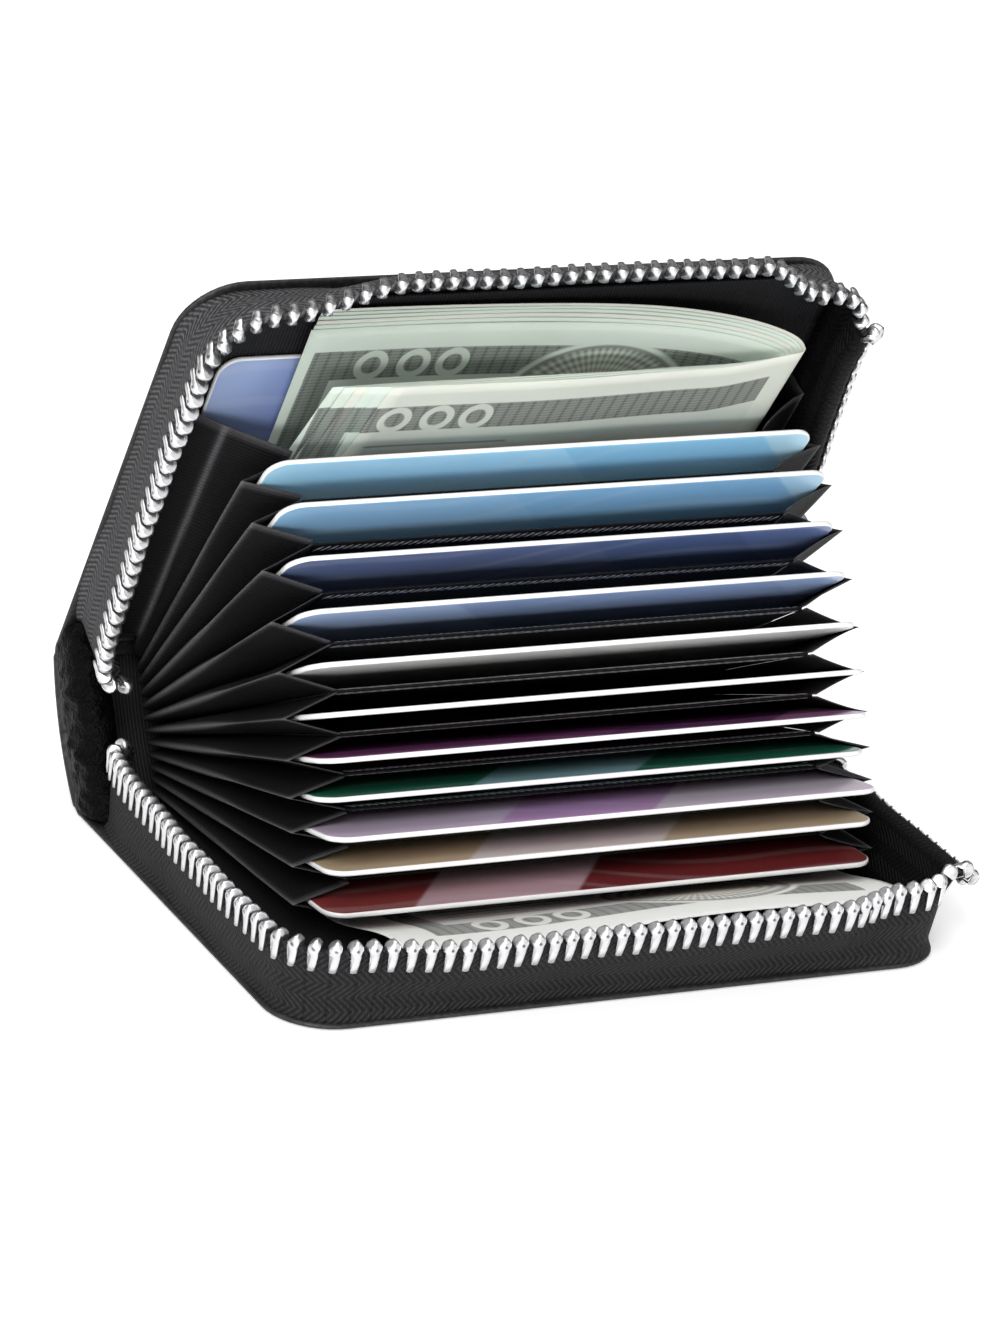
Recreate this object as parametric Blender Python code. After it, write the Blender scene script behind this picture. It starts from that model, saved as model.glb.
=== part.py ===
"""Accordion card wallet with a zip round three sides, open as if to show its cards.

The wallet lies on its lower cover. X runs along the spine to the right, the mouth faces -Y, and Z is up.
Everything is laid out shut, as a flat stack of leaves on a standing spine, and each piece is then turned
open about its own fold on the spine.
"""

import math

import bpy
import numpy as np

# Opening: the spine leans back by half of the opening, and the upper cover turns as far again on it.
HALF_OPENING = math.radians(32.0)

# Cards, whose size sets the accordion's, which sets the covers'
CARD_WIDTH = 0.0856
CARD_DEPTH = 0.054
CARD_THICKNESS = 0.00076
CARD_CORNER = 0.00318
CARD_BACKS = (0.0026, 0.0030, 0.0020, 0.0028, 0.0036, 0.0048, 0.0050, 0.0030, 0.0058, 0.0040, 0.0044)
CARD_SHIFTS = (0.0, 0.0003, 0.0003, 0.0002, 0.0, -0.0002, -0.0003, -0.0002, 0.0, 0.0002, -0.0002)
LOOSE_CARD_BACK = 0.0055
LOOSE_CARD_SHIFT = -0.0045
LOOSE_CARD_GAP = 0.0003

# Accordion plan
ACCORDION_SHIFT = 0.0036
LEAF_SIDE_INSET = 0.0058
LEAF_MOUTH_INSET = 0.0025
PLEAT_SIDE_CLEARANCE = 0.0018
PLEAT_SPREAD = 0.001
PLEAT_OVERHANG = 0.0007
LEAF_WIDTH = CARD_WIDTH - 2 * LEAF_SIDE_INSET
LEAF_DEPTH = CARD_DEPTH - LEAF_MOUTH_INSET
PLEAT_HALF_BACK = CARD_WIDTH / 2 + PLEAT_SIDE_CLEARANCE
PLEAT_HALF_FRONT = PLEAT_HALF_BACK + PLEAT_SPREAD
PLEAT_DEPTH = LEAF_DEPTH + PLEAT_OVERHANG

# Covers
COVER_SIDE_MARGIN = 0.0033
COVER_MOUTH_MARGIN = 0.018
COVER_WIDTH = 2 * (PLEAT_HALF_BACK + ACCORDION_SHIFT + COVER_SIDE_MARGIN)
COVER_DEPTH = CARD_DEPTH + COVER_MOUTH_MARGIN
COVER_CORNER = 0.009
CLOSED_THICKNESS = 0.0264
LEATHER_THICKNESS = 0.00095
BOARD_THICKNESS = 0.0004
LINING_THICKNESS = 0.0003
LAYER_GAP = 0.00025
COVER_BACK = 0.001
BOARD_INSET = 0.0036
LINING_INSET = 0.0026
LEATHER_BEVEL = 0.00025
HINGE_HEIGHT = 0.0012

# Spine
SPINE_THICKNESS = 0.0012
SPINE_SETBACK = 0.0016
SPINE_BULGE = 0.0016
SPINE_END_CLEARANCE = 0.0022
SPINE_LINING_SETBACK = 0.00105
SPINE_LINING_INSET = 0.0016
TAB_GAP = 0.0003
TAB_THICKNESS = 0.0007
TAB_REACH = 0.0049
TAB_CORNER = 0.003

# Zip
TAPE_INSET = 0.0012
TAPE_THICKNESS = 0.0005
TAPE_TOP = 0.0103
TAPE_FLARE_END = math.radians(2.0)
# Lean of the wall outwards along the left side, round the corners, along the front and along the right side
LOWER_FLARES = (math.radians(11.0), math.radians(11.0), math.radians(11.0), math.radians(27.0))
UPPER_FLARES = (math.radians(9.0), math.radians(20.0), math.radians(43.0), math.radians(3.0))
LEFT_FLARE_RUN = 0.03
FRONT_FLARE_LEFT_RUN = 0.021
FRONT_FLARE_RIGHT_RUN = 0.012
RIGHT_FLARE_START = 0.012
RIGHT_FLARE_RUN = 0.025
LEFT_TUCK = 0.001
RIGHT_TUCK = 0.0
TUCK_RUN = 0.009
LEFT_TAPE_END = 0.004
RIGHT_TAPE_END = 0.0062
RIGHT_TEETH_END = 0.0136
CORD_WIDTH = 0.0011
CORD_BOTTOM = 0.0108
CORD_TOP = 0.0119
TOOTH_PITCH = 0.00256
TOOTH_LENGTH = 0.00096
TOOTH_WIDTH = 0.0019
TOOTH_BOTTOM = 0.0106
TOOTH_OVERLAP = 0.0006
TOOTH_SIDE_SLOPE = 0.00006

# Slider and pull, parked at the right end of the zip
SLIDER_LENGTH = 0.0078
SLIDER_BACK = 0.0052
SLIDER_WIDTH = 0.0076
SLIDER_WEB = 0.002
SLIDER_PLATE = 0.0008
SLIDER_INNER_GAP = 0.0018
CROWN_WIDTH = 0.0016
CROWN_LENGTH = 0.0054
CROWN_WALL = 0.0007
CROWN_OPENING = 0.0026
CROWN_SINK = 0.0003
PULL_LENGTH = 0.021
PULL_WIDTH = 0.0052
PULL_THICKNESS = 0.0009
PULL_BAR = 0.0009
PULL_SLOT_WIDTH = 0.0026
PULL_SLOT_LENGTH = 0.0038
PULL_CORNER = 0.0012
STOP_WIDTH = 0.0038
STOP_LENGTH = 0.0018
STOP_HEIGHT = 0.0034
STOP_GAP = 0.0005

# Accordion
POCKETS = 11
FIRST_LEAF_HEIGHT = 0.0031
LEAF_PITCH = 0.0016
LEAF_THICKNESS = 0.00025
LEAF_BACK = 0.0013
HEM_DEPTH = 0.0025
HEM_THICKNESS = 0.00042
POCKET_ANGLES = [math.radians(angle) for angle in (53.3, 48.1, 42.2, 36.0, 30.1, 24.9, 20.4, 16.5, 13.1, 9.7, 5.6)]
TOP_LEAF_ANGLE = math.radians(56.0)
BOTTOM_LEAF_ANGLE = math.radians(3.6)

# Pleats
PLEAT_THICKNESS = 0.00018
PLEAT_SEAM_GAP = 0.0003
PLEAT_MARGIN = 0.00012
PLEAT_RIDGE_THICKNESS = 0.00035
PLEAT_BACK = 0.00045
PLEAT_BACK_SEAM = 0.00105
PLEAT_SHARP_FRONT = 1.25
PLEAT_SHARP_BACK = 2.6
PLEAT_RUN_shares = (1.0, 0.68, 0.38, 0.16, 0.07)
PLEAT_PROFILE_shares = (0.0, 0.62, 0.9, 1.0)
PLEAT_CORNER_shares = ((1.0, 1.9, 0.0), (0.994, 1.0, 0.35), (0.975, 0.0, 0.75))
FLANGE_INSET = 0.0029
FLANGE_START = 0.0021
FLANGE_SWING = 0.0032
FLANGE_RUN_shares = (1.0, 0.68, 0.38, 0.16, 0.102, 0.09, 0.08, 0.071, 0.063, 0.056, 0.049)

# Banknotes
NOTE_LIFT = 0.0013
NOTE_WALL_GAP = 0.003
NOTE_SIDE_OVERLAP = 0.0001
NOTE_FOLD_OVERHANG = 0.0029
INNER_NOTE_INSET = 0.002
NOTE_GAP = 0.0003
OUTER_NOTE_BACK = 0.004
OUTER_NOTE_FRONT = COVER_DEPTH - NOTE_WALL_GAP
OUTER_NOTE_LEFT = ACCORDION_SHIFT - LEAF_WIDTH / 2 - NOTE_SIDE_OVERLAP
OUTER_NOTE_RIGHT = ACCORDION_SHIFT + LEAF_WIDTH / 2 + NOTE_FOLD_OVERHANG
OUTER_NOTE_THICKNESS = 0.0003
INNER_NOTE_BACK = 0.0125
INNER_NOTE_FRONT = OUTER_NOTE_FRONT - INNER_NOTE_INSET
INNER_NOTE_LEFT = OUTER_NOTE_LEFT + INNER_NOTE_INSET
INNER_NOTE_RIGHT = OUTER_NOTE_RIGHT - 2 * INNER_NOTE_INSET
INNER_NOTE_THICKNESS = 0.0003
NOTE_ROUNDNESS = 2.2
NOTE_PROFILE_shares = (0.0, 0.35, 0.6, 0.8, 0.92, 0.98, 1.0)
NOTE_RUN_shares = (0.0, 0.5, 1.0)
LOWER_NOTE_LEFT_INSET = 0.0185
LOWER_NOTE_RIGHT_INSET = 0.005
LOWER_NOTE_FRONT_INSET = 0.0045
LOWER_NOTE_LEFT = LOWER_NOTE_LEFT_INSET - COVER_WIDTH / 2
LOWER_NOTE_RIGHT = COVER_WIDTH / 2 - LOWER_NOTE_RIGHT_INSET
LOWER_NOTE_FRONT = COVER_DEPTH - LOWER_NOTE_FRONT_INSET
LOWER_NOTE_BACK = 0.0025
LOWER_NOTE_THICKNESS = 0.0002

# Mesh fineness
CORNER_STEPS = 8
CARD_CORNER_STEPS = 4
SMALL_CORNER_STEPS = 3
PATH_STEP = 0.0015
SPINE_STEPS = 8
TAPE_STATIONS = 56

MIDDLE = CLOSED_THICKNESS / 2
UPPER_HINGE_HEIGHT = CLOSED_THICKNESS - HINGE_HEIGHT
BOARD_BOTTOM = LEATHER_THICKNESS + LAYER_GAP
LINING_BOTTOM = BOARD_BOTTOM + BOARD_THICKNESS + LAYER_GAP
LINING_TOP = LINING_BOTTOM + LINING_THICKNESS

# Leaf 1 is the top divider of the accordion and leaf 12 the bottom one. Pocket 1 lies between leaves 1 and 2.
LEAF_HEIGHTS = [FIRST_LEAF_HEIGHT + LEAF_PITCH * (POCKETS - number) for number in range(POCKETS + 1)]
POCKET_HEIGHTS = [(above + below) / 2 for above, below in zip(LEAF_HEIGHTS, LEAF_HEIGHTS[1:])]
LEAF_ANGLES = (
    [TOP_LEAF_ANGLE]
    + [(above + below) / 2 for above, below in zip(POCKET_ANGLES, POCKET_ANGLES[1:])]
    + [BOTTOM_LEAF_ANGLE]
)

MATERIALS = {
    "black_leather": ((0.012, 0.012, 0.013), 0.0, 0.55),
    "stiffener_board": ((0.35, 0.33, 0.30), 0.0, 0.85),
    "black_lining": ((0.010, 0.010, 0.011), 0.0, 0.80),
    "zip_tape_weave": ((0.018, 0.018, 0.020), 0.0, 0.85),
    "zip_metal": ((0.78, 0.78, 0.79), 1.0, 0.22),
    "slider_metal": ((0.70, 0.70, 0.72), 1.0, 0.25),
    "accordion_fabric": ((0.014, 0.014, 0.015), 0.0, 0.75),
    "card_sky_blue": ((0.21, 0.50, 0.72), 0.0, 0.35),
    "card_indigo": ((0.10, 0.11, 0.33), 0.0, 0.35),
    "card_periwinkle": ((0.27, 0.38, 0.68), 0.0, 0.35),
    "card_white": ((0.80, 0.80, 0.78), 0.0, 0.35),
    "card_plum": ((0.14, 0.03, 0.11), 0.0, 0.35),
    "card_green": ((0.03, 0.18, 0.11), 0.0, 0.35),
    "card_mauve": ((0.42, 0.24, 0.42), 0.0, 0.35),
    "card_sand": ((0.52, 0.42, 0.27), 0.0, 0.35),
    "card_maroon": ((0.19, 0.03, 0.03), 0.0, 0.35),
    "banknote_paper": ((0.62, 0.66, 0.58), 0.0, 0.80),
}

CARD_MATERIALS = (
    "card_sky_blue",
    "card_sky_blue",
    "card_indigo",
    "card_periwinkle",
    "card_white",
    "card_white",
    "card_plum",
    "card_green",
    "card_mauve",
    "card_sand",
    "card_maroon",
)


def clear_scene():
    for old in list(bpy.data.objects):
        bpy.data.objects.remove(old)


def material_named(name):
    material = bpy.data.materials.get(name)
    if material is None:
        colour, metallic, roughness = MATERIALS[name]
        material = bpy.data.materials.new(name)
        material.use_nodes = True
        shader = material.node_tree.nodes["Principled BSDF"]
        shader.inputs["Base Color"].default_value = (*colour, 1.0)
        shader.inputs["Metallic"].default_value = metallic
        shader.inputs["Roughness"].default_value = roughness
    return material


def solid(name, points, faces, material, smooth=False):
    """A mesh object from points in world space. Faces are listed facing out."""
    mesh = bpy.data.meshes.new(name)
    mesh.from_pydata([tuple(point) for point in points], [], [tuple(face) for face in faces])
    mesh.materials.append(material_named(material))
    if smooth:
        mesh.shade_smooth()
    mesh.update()
    made = bpy.data.objects.new(name, mesh)
    bpy.context.scene.collection.objects.link(made)
    return made


def turned(points, height, angle):
    """Points turned open by an angle about the fold that runs along X at this height of the shut spine."""
    points = np.array(points, float)
    along = points[:, 1]
    above = points[:, 2] - height
    result = points.copy()
    result[:, 1] = along * math.cos(angle) + above * math.sin(angle)
    result[:, 2] = height + above * math.cos(angle) - along * math.sin(angle)
    return result


def with_spine(points):
    return turned(points, HINGE_HEIGHT, HALF_OPENING)


def with_upper_cover(points):
    return with_spine(turned(points, UPPER_HINGE_HEIGHT, HALF_OPENING))


def with_leaf(points, height, angle):
    """Points of a leaf that folds on the spine at this height and stands open at this angle to the lower cover."""
    return with_spine(turned(points, height, angle - HALF_OPENING))


def as_shut(points):
    return np.array(points, float)


def flipped(points):
    """The mirror image of a lower piece in the shut wallet's middle plane."""
    points = np.array(points, float)
    points[:, 2] = CLOSED_THICKNESS - points[:, 2]
    return points


def as_upper(points):
    return with_upper_cover(flipped(points))


def arc(centre_x, centre_y, radius, start, end, steps):
    """Points of an arc in a flat outline, from one angle to another."""
    angles = np.linspace(start, end, steps + 1)
    return [(centre_x + radius * math.cos(a), centre_y + radius * math.sin(a)) for a in angles]


def rounded_outline(low_x, high_x, low_y, high_y, low_radius, high_radius, steps):
    """A rectangle's outline, anticlockwise, with round corners of one radius at its low-Y side and one at its high-Y side."""
    quarter = math.pi / 2
    corners = (
        (low_x + low_radius, low_y + low_radius, low_radius, 2 * quarter),
        (high_x - low_radius, low_y + low_radius, low_radius, 3 * quarter),
        (high_x - high_radius, high_y - high_radius, high_radius, 0.0),
        (low_x + high_radius, high_y - high_radius, high_radius, quarter),
    )
    outline = []
    for centre_x, centre_y, radius, start in corners:
        if radius > 0:
            outline += arc(centre_x, centre_y, radius, start, start + quarter, steps)
        else:
            outline.append((centre_x, centre_y))
    return outline


def prism(outline, low, high, axes=(0, 1, 2)):
    """Points and faces of an outline pushed from low to high. axes says which axis each of the three numbers runs along."""
    count = len(outline)
    flat = [(u, v, low) for u, v in outline] + [(u, v, high) for u, v in outline]
    points = np.zeros((2 * count, 3))
    points[:, list(axes)] = flat
    sides = [(i, (i + 1) % count, count + (i + 1) % count, count + i) for i in range(count)]
    faces = [tuple(reversed(range(count))), tuple(range(count, 2 * count))] + sides
    area = sum(a[0] * b[1] - b[0] * a[1] for a, b in zip(outline, outline[1:] + outline[:1]))
    right_handed = list(axes) in ([0, 1, 2], [1, 2, 0], [2, 0, 1])
    if (area > 0) != right_handed:
        faces = [tuple(reversed(face)) for face in faces]
    return points, faces


def box_outline(low_u, high_u, low_v, high_v):
    return [(low_u, low_v), (high_u, low_v), (high_u, high_v), (low_u, high_v)]


def tube(rings):
    """Points and faces of a closed solid through rings of equally many points, with both ends capped."""
    size = len(rings[0])
    points = np.concatenate([np.array(ring, float) for ring in rings])
    faces = [tuple(reversed(range(size)))]
    for start in range(0, size * (len(rings) - 1), size):
        for i in range(size):
            j = (i + 1) % size
            faces.append((start + i, start + j, start + size + j, start + size + i))
    last = size * (len(rings) - 1)
    faces.append(tuple(range(last, last + size)))
    return points, faces


def folded_tube(rings):
    """A tube whose rings run out along one face of a strip and back along the other.

    Both faces are split along the same diagonals, so that a twisted strip doesn't cross itself.
    """
    points, faces = tube(rings)
    size = len(rings[0])
    sides = []
    for number, (a, b, c, d) in enumerate(faces[1:-1]):
        if number % size < size / 2:
            sides += [(a, b, c), (a, c, d)]
        else:
            sides += [(a, b, d), (b, c, d)]
    return points, [faces[0]] + sides + [faces[-1]]


def facing_out(points, faces):
    """The same faces, all turned over if they enclose a negative volume."""
    volume = 0.0
    for face in faces:
        corners = points[list(face)]
        for second, third in zip(corners[1:], corners[2:]):
            volume += np.dot(corners[0], np.cross(second, third))
    if volume < 0:
        return [tuple(reversed(face)) for face in faces]
    return faces


def placed(name, shape, place, material, smooth=False):
    """A solid from points and faces laid out shut, turned to where it stands in the open wallet."""
    points, faces = shape
    points = place(points)
    return solid(name, points, facing_out(points, faces), material, smooth)


def bevel(made, width):
    modifier = made.modifiers.new("rounded edge", "BEVEL")
    modifier.width = width
    modifier.segments = 2
    modifier.limit_method = "ANGLE"
    return made


def boolean(made, operation, other_shape, place, name):
    """Joins or cuts with a helper solid, and applies the result at once."""
    helper = placed(name, other_shape, place, "slider_metal")
    modifier = made.modifiers.new(operation.lower(), "BOOLEAN")
    modifier.operation = operation
    modifier.solver = "EXACT"
    modifier.object = helper
    graph = bpy.context.evaluated_depsgraph_get()
    result = bpy.data.meshes.new_from_object(made.evaluated_get(graph))
    made.modifiers.clear()
    made.data = result
    bpy.data.objects.remove(helper)


def cover(side, place):
    """Leather, stiffener board and lining of one cover, laid out as the lower cover."""
    half = COVER_WIDTH / 2
    leather = rounded_outline(-half, half, -COVER_DEPTH, COVER_BACK, COVER_CORNER, 0, CORNER_STEPS)
    outer = placed(
        f"{side}_cover_leather",
        prism(leather, 0, LEATHER_THICKNESS),
        place,
        "black_leather",
    )
    bevel(outer, LEATHER_BEVEL)
    for part, inset, bottom, thickness, material in (
        ("board", BOARD_INSET, BOARD_BOTTOM, BOARD_THICKNESS, "stiffener_board"),
        ("lining", LINING_INSET, LINING_BOTTOM, LINING_THICKNESS, "black_lining"),
    ):
        outline = rounded_outline(
            inset - half,
            half - inset,
            inset - COVER_DEPTH,
            COVER_BACK - inset,
            COVER_CORNER - inset,
            0,
            CORNER_STEPS,
        )
        placed(f"{side}_cover_{part}", prism(outline, bottom, bottom + thickness), place, material)


def spine_bulge(height):
    """How far the spine bows back at a height of the shut wallet."""
    share = (height - MIDDLE) / MIDDLE
    return SPINE_BULGE * (1 - share * share)


def spine_strip(name, setback, thickness, clearance, inset, material):
    """A layer of the spine, bowed back, from one cover to the other."""
    heights = np.linspace(clearance, CLOSED_THICKNESS - clearance, SPINE_STEPS + 1)
    front = [(setback + spine_bulge(height), height) for height in heights]
    back = [(y + thickness, height) for y, height in reversed(front)]
    half = COVER_WIDTH / 2 - inset
    placed(name, prism(front + back, -half, half, (1, 2, 0)), with_spine, material, smooth=False)


def spine_tab(name, side):
    """The leather end of the spine, which closes its side between the two zip tapes."""
    near = COVER_WIDTH / 2 + TAB_GAP
    outline = rounded_outline(
        -CLOSED_THICKNESS + SPINE_END_CLEARANCE,
        -SPINE_END_CLEARANCE,
        -TAB_REACH,
        SPINE_SETBACK + SPINE_THICKNESS,
        TAB_CORNER,
        0,
        CORNER_STEPS,
    )
    standing = [(y, -height) for height, y in outline]
    ends = sorted((side * near, side * (near + TAB_THICKNESS)))
    placed(name, prism(standing, ends[0], ends[1], (1, 2, 0)), with_spine, "black_leather")


def smooth_step(share):
    share = np.clip(share, 0, 1)
    return share * share * (3 - 2 * share)


def wall_path():
    """The line that the zip follows round three sides of a cover, from its left back end to its right back end."""
    half = COVER_WIDTH / 2 - TAPE_INSET
    front = TAPE_INSET - COVER_DEPTH
    radius = COVER_CORNER - TAPE_INSET
    quarter = math.pi / 2
    left_back = np.arange(-LEFT_TAPE_END, front + radius, -PATH_STEP)
    left_x = -half + LEFT_TUCK * smooth_step((left_back + LEFT_TAPE_END + TUCK_RUN) / TUCK_RUN)
    right_back = np.append(np.arange(front + radius, -RIGHT_TAPE_END, PATH_STEP), -RIGHT_TAPE_END)[1:]
    right_x = half - RIGHT_TUCK * smooth_step((right_back + RIGHT_TAPE_END + TUCK_RUN) / TUCK_RUN)
    points = list(zip(left_x, left_back))
    points += arc(radius - half, front + radius, radius, 2 * quarter, 3 * quarter, CORNER_STEPS)
    points += arc(half - radius, front + radius, radius, 3 * quarter, 4 * quarter, CORNER_STEPS)
    points += list(zip(right_x, right_back))
    points = np.array(points)
    steps = np.linalg.norm(np.diff(points, axis=0), axis=1)
    keep = np.append(True, steps > TOOTH_SIDE_SLOPE)
    points = points[keep]
    lengths = np.append(0, np.cumsum(np.linalg.norm(np.diff(points, axis=0), axis=1)))
    return points, lengths


def wall_frame(at, flares):
    """Place, outward direction and slope of the zip wall's lean at distances along its path."""
    points, lengths = wall_path()
    place = np.stack([np.interp(at, lengths, points[:, i]) for i in (0, 1)], axis=1)
    ahead = np.gradient(points, lengths, axis=0)
    ahead = np.stack([np.interp(at, lengths, ahead[:, i]) for i in (0, 1)], axis=1)
    ahead /= np.linalg.norm(ahead, axis=1)[:, None]
    outward = np.stack([ahead[:, 1], -ahead[:, 0]], axis=1)
    left, corner, front, right = flares
    straight = COVER_WIDTH / 2 - COVER_CORNER
    front_share = smooth_step((place[:, 0] + straight) / FRONT_FLARE_LEFT_RUN)
    front_share *= smooth_step((straight - place[:, 0]) / FRONT_FLARE_RIGHT_RUN)
    towards_left, towards_right = np.clip(-outward[:, 0], 0, 1), np.clip(outward[:, 0], 0, 1)
    lean = left * towards_left**2 + right * towards_right**2
    lean += (corner + (front - corner) * front_share) * np.clip(-outward[:, 1], 0, 1) ** 2
    from_ends = smooth_step(at / LEFT_FLARE_RUN)
    from_ends *= smooth_step((lengths[-1] - at - RIGHT_FLARE_START) / RIGHT_FLARE_RUN)
    lean = TAPE_FLARE_END + (lean - TAPE_FLARE_END) * from_ends
    return place, outward, np.tan(lean)


def wall_rings(at, sections, flares):
    """Rings of a strip that follows the wall. Each section lists (distance across the wall, height)."""
    place, outward, slope = wall_frame(np.array(at), flares)
    rings = []
    for here, out, rise, section in zip(place, outward, slope, sections):
        ring = []
        for across, height in section:
            away = across + rise * (height - LINING_TOP)
            ring.append((here[0] + out[0] * away, here[1] + out[1] * away, height))
        rings.append(ring)
    return rings


def strip_section(width, bottom, top):
    return [(-width / 2, bottom), (width / 2, bottom), (width / 2, top), (-width / 2, top)]


def zip_tape(name, place, flares):
    length = wall_path()[1][-1]
    at = np.linspace(0, length, TAPE_STATIONS)
    section = strip_section(TAPE_THICKNESS, LEATHER_THICKNESS + LAYER_GAP, TAPE_TOP)
    rings = wall_rings(at, [section] * len(at), flares)
    placed(name, tube(rings), place, "zip_tape_weave")


def zip_teeth(name, place, flares, phase):
    """The beaded cord at the tape's edge with the metal teeth that grip it, as one row."""
    length = wall_path()[1][-1] - (RIGHT_TEETH_END - RIGHT_TAPE_END)
    cord = strip_section(CORD_WIDTH, CORD_BOTTOM, CORD_TOP)
    tooth = strip_section(TOOTH_WIDTH, TOOTH_BOTTOM, MIDDLE + TOOTH_OVERLAP)
    count = int((length - TOOTH_LENGTH) / TOOTH_PITCH - phase)
    at = [0]
    sections = [cord]
    for number in range(count):
        start = (number + phase) * TOOTH_PITCH + TOOTH_LENGTH / 2
        end = start + TOOTH_LENGTH
        at += [start - TOOTH_SIDE_SLOPE, start, end, end + TOOTH_SIDE_SLOPE]
        sections += [cord, tooth, tooth, cord]
    at.append(length)
    sections.append(cord)
    placed(name, tube(wall_rings(at, sections, flares)), place, "zip_metal")


def zip_slider():
    """Slider body, two plates joined by a web, with the arch that holds the pull."""
    wall = COVER_WIDTH / 2 - TAPE_INSET
    inner = wall - SLIDER_INNER_GAP / 2
    outer = wall + SLIDER_INNER_GAP / 2
    low = MIDDLE - SLIDER_WIDTH / 2
    high = MIDDLE + SLIDER_WIDTH / 2
    web_low = MIDDLE - SLIDER_WEB / 2
    web_high = MIDDLE + SLIDER_WEB / 2
    section = [
        (inner - SLIDER_PLATE, low),
        (inner, low),
        (inner, web_low),
        (outer, web_low),
        (outer, low),
        (outer + SLIDER_PLATE, low),
        (outer + SLIDER_PLATE, high),
        (outer, high),
        (outer, web_high),
        (inner, web_high),
        (inner, high),
        (inner - SLIDER_PLATE, high),
    ]
    front = -SLIDER_BACK - SLIDER_LENGTH
    body = placed(
        "zip_slider",
        prism(section, front, -SLIDER_BACK, (0, 2, 1)),
        with_spine,
        "slider_metal",
    )
    face = outer + SLIDER_PLATE
    middle = front + SLIDER_LENGTH / 2
    far = middle + CROWN_LENGTH / 2
    near = middle - CROWN_LENGTH / 2
    top = face + CROWN_OPENING
    arch = [
        (face - CROWN_SINK, near),
        (top + CROWN_WALL, near),
        (top + CROWN_WALL, far),
        (face - CROWN_SINK, far),
        (face - CROWN_SINK, far - CROWN_WALL),
        (top, far - CROWN_WALL),
        (top, near + CROWN_WALL),
        (face - CROWN_SINK, near + CROWN_WALL),
    ]
    crown = prism(arch, MIDDLE - CROWN_WIDTH / 2, MIDDLE + CROWN_WIDTH / 2)
    boolean(body, "UNION", crown, with_spine, "crown")
    return face, middle


def zip_pull(face, middle):
    """The pull, whose end bar passes under the slider's arch. It hangs back along the spine's end."""
    low_x = face + (CROWN_OPENING - PULL_THICKNESS) / 2
    start = middle - PULL_BAR / 2
    outline = rounded_outline(
        MIDDLE - PULL_WIDTH / 2,
        MIDDLE + PULL_WIDTH / 2,
        start,
        start + PULL_LENGTH,
        PULL_CORNER,
        PULL_CORNER,
        SMALL_CORNER_STEPS,
    )
    pull = placed(
        "zip_pull",
        prism(outline, low_x, low_x + PULL_THICKNESS, (2, 1, 0)),
        with_spine,
        "slider_metal",
    )
    slot = rounded_outline(
        MIDDLE - PULL_SLOT_WIDTH / 2,
        MIDDLE + PULL_SLOT_WIDTH / 2,
        start + PULL_BAR,
        start + PULL_BAR + PULL_SLOT_LENGTH,
        0,
        PULL_CORNER,
        SMALL_CORNER_STEPS,
    )
    cutter = prism(slot, low_x - PULL_THICKNESS, low_x + 2 * PULL_THICKNESS, (2, 1, 0))
    boolean(pull, "DIFFERENCE", cutter, with_spine, "slot")


def zip_end_stop():
    """The metal clip that holds both rows together at the left end."""
    middle = TAPE_INSET + LEFT_TUCK - COVER_WIDTH / 2
    back = -LEFT_TAPE_END + STOP_GAP + STOP_LENGTH
    outline = box_outline(
        middle - STOP_WIDTH / 2,
        middle + STOP_WIDTH / 2,
        back - STOP_LENGTH,
        back,
    )
    shape = prism(outline, MIDDLE - STOP_HEIGHT / 2, MIDDLE + STOP_HEIGHT / 2)
    placed("zip_end_stop", shape, with_spine, "zip_metal")


def divider(number):
    """A leaf between two pockets, with the hem along its mouth. The number counts from the top."""
    height = LEAF_HEIGHTS[number - 1]
    hem_start = LEAF_DEPTH - HEM_DEPTH
    half_leaf = LEAF_THICKNESS / 2
    half_hem = HEM_THICKNESS / 2
    section = [
        (-LEAF_BACK, -half_leaf),
        (-hem_start, -half_leaf),
        (-hem_start, -half_hem),
        (-LEAF_DEPTH, -half_hem),
        (-LEAF_DEPTH, half_hem),
        (-hem_start, half_hem),
        (-hem_start, half_leaf),
        (-LEAF_BACK, half_leaf),
    ]
    section = [(y, height + z) for y, z in section]
    low = ACCORDION_SHIFT - LEAF_WIDTH / 2
    points, faces = prism(section, low, low + LEAF_WIDTH, (1, 2, 0))
    points = with_leaf(points, height, LEAF_ANGLES[number - 1])
    solid(f"divider_{number:02d}", points, facing_out(points, faces), "accordion_fabric")


def leaf_clearance(height, angle, depth, pocket_height, pocket_angle, reach):
    """How far a neighbouring leaf stands from a pocket's middle plane, at a distance out from the spine.

    The leaf's face lies at a depth below the fold that it turns on.
    """
    lean = pocket_angle - HALF_OPENING
    tilt = angle - pocket_angle
    rise = (height - pocket_height) * math.cos(lean)
    start = (height - pocket_height) * math.sin(lean)
    return rise + (reach - start) * math.tan(tilt) - depth / math.cos(tilt)


def fold_curve(seam, ridge, rise, sharpness, shares):
    """Points of one arm of a fold, from its seam to its ridge, as (x, reach, height)."""
    result = []
    for share in shares:
        height = rise * (1 - share**sharpness) ** (1 / sharpness) if share < 1 else 0.0
        result.append(
            (
                seam[0] + (ridge[0] - seam[0]) * share,
                seam[1] + (ridge[1] - seam[1]) * share,
                height,
            )
        )
    return result


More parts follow.
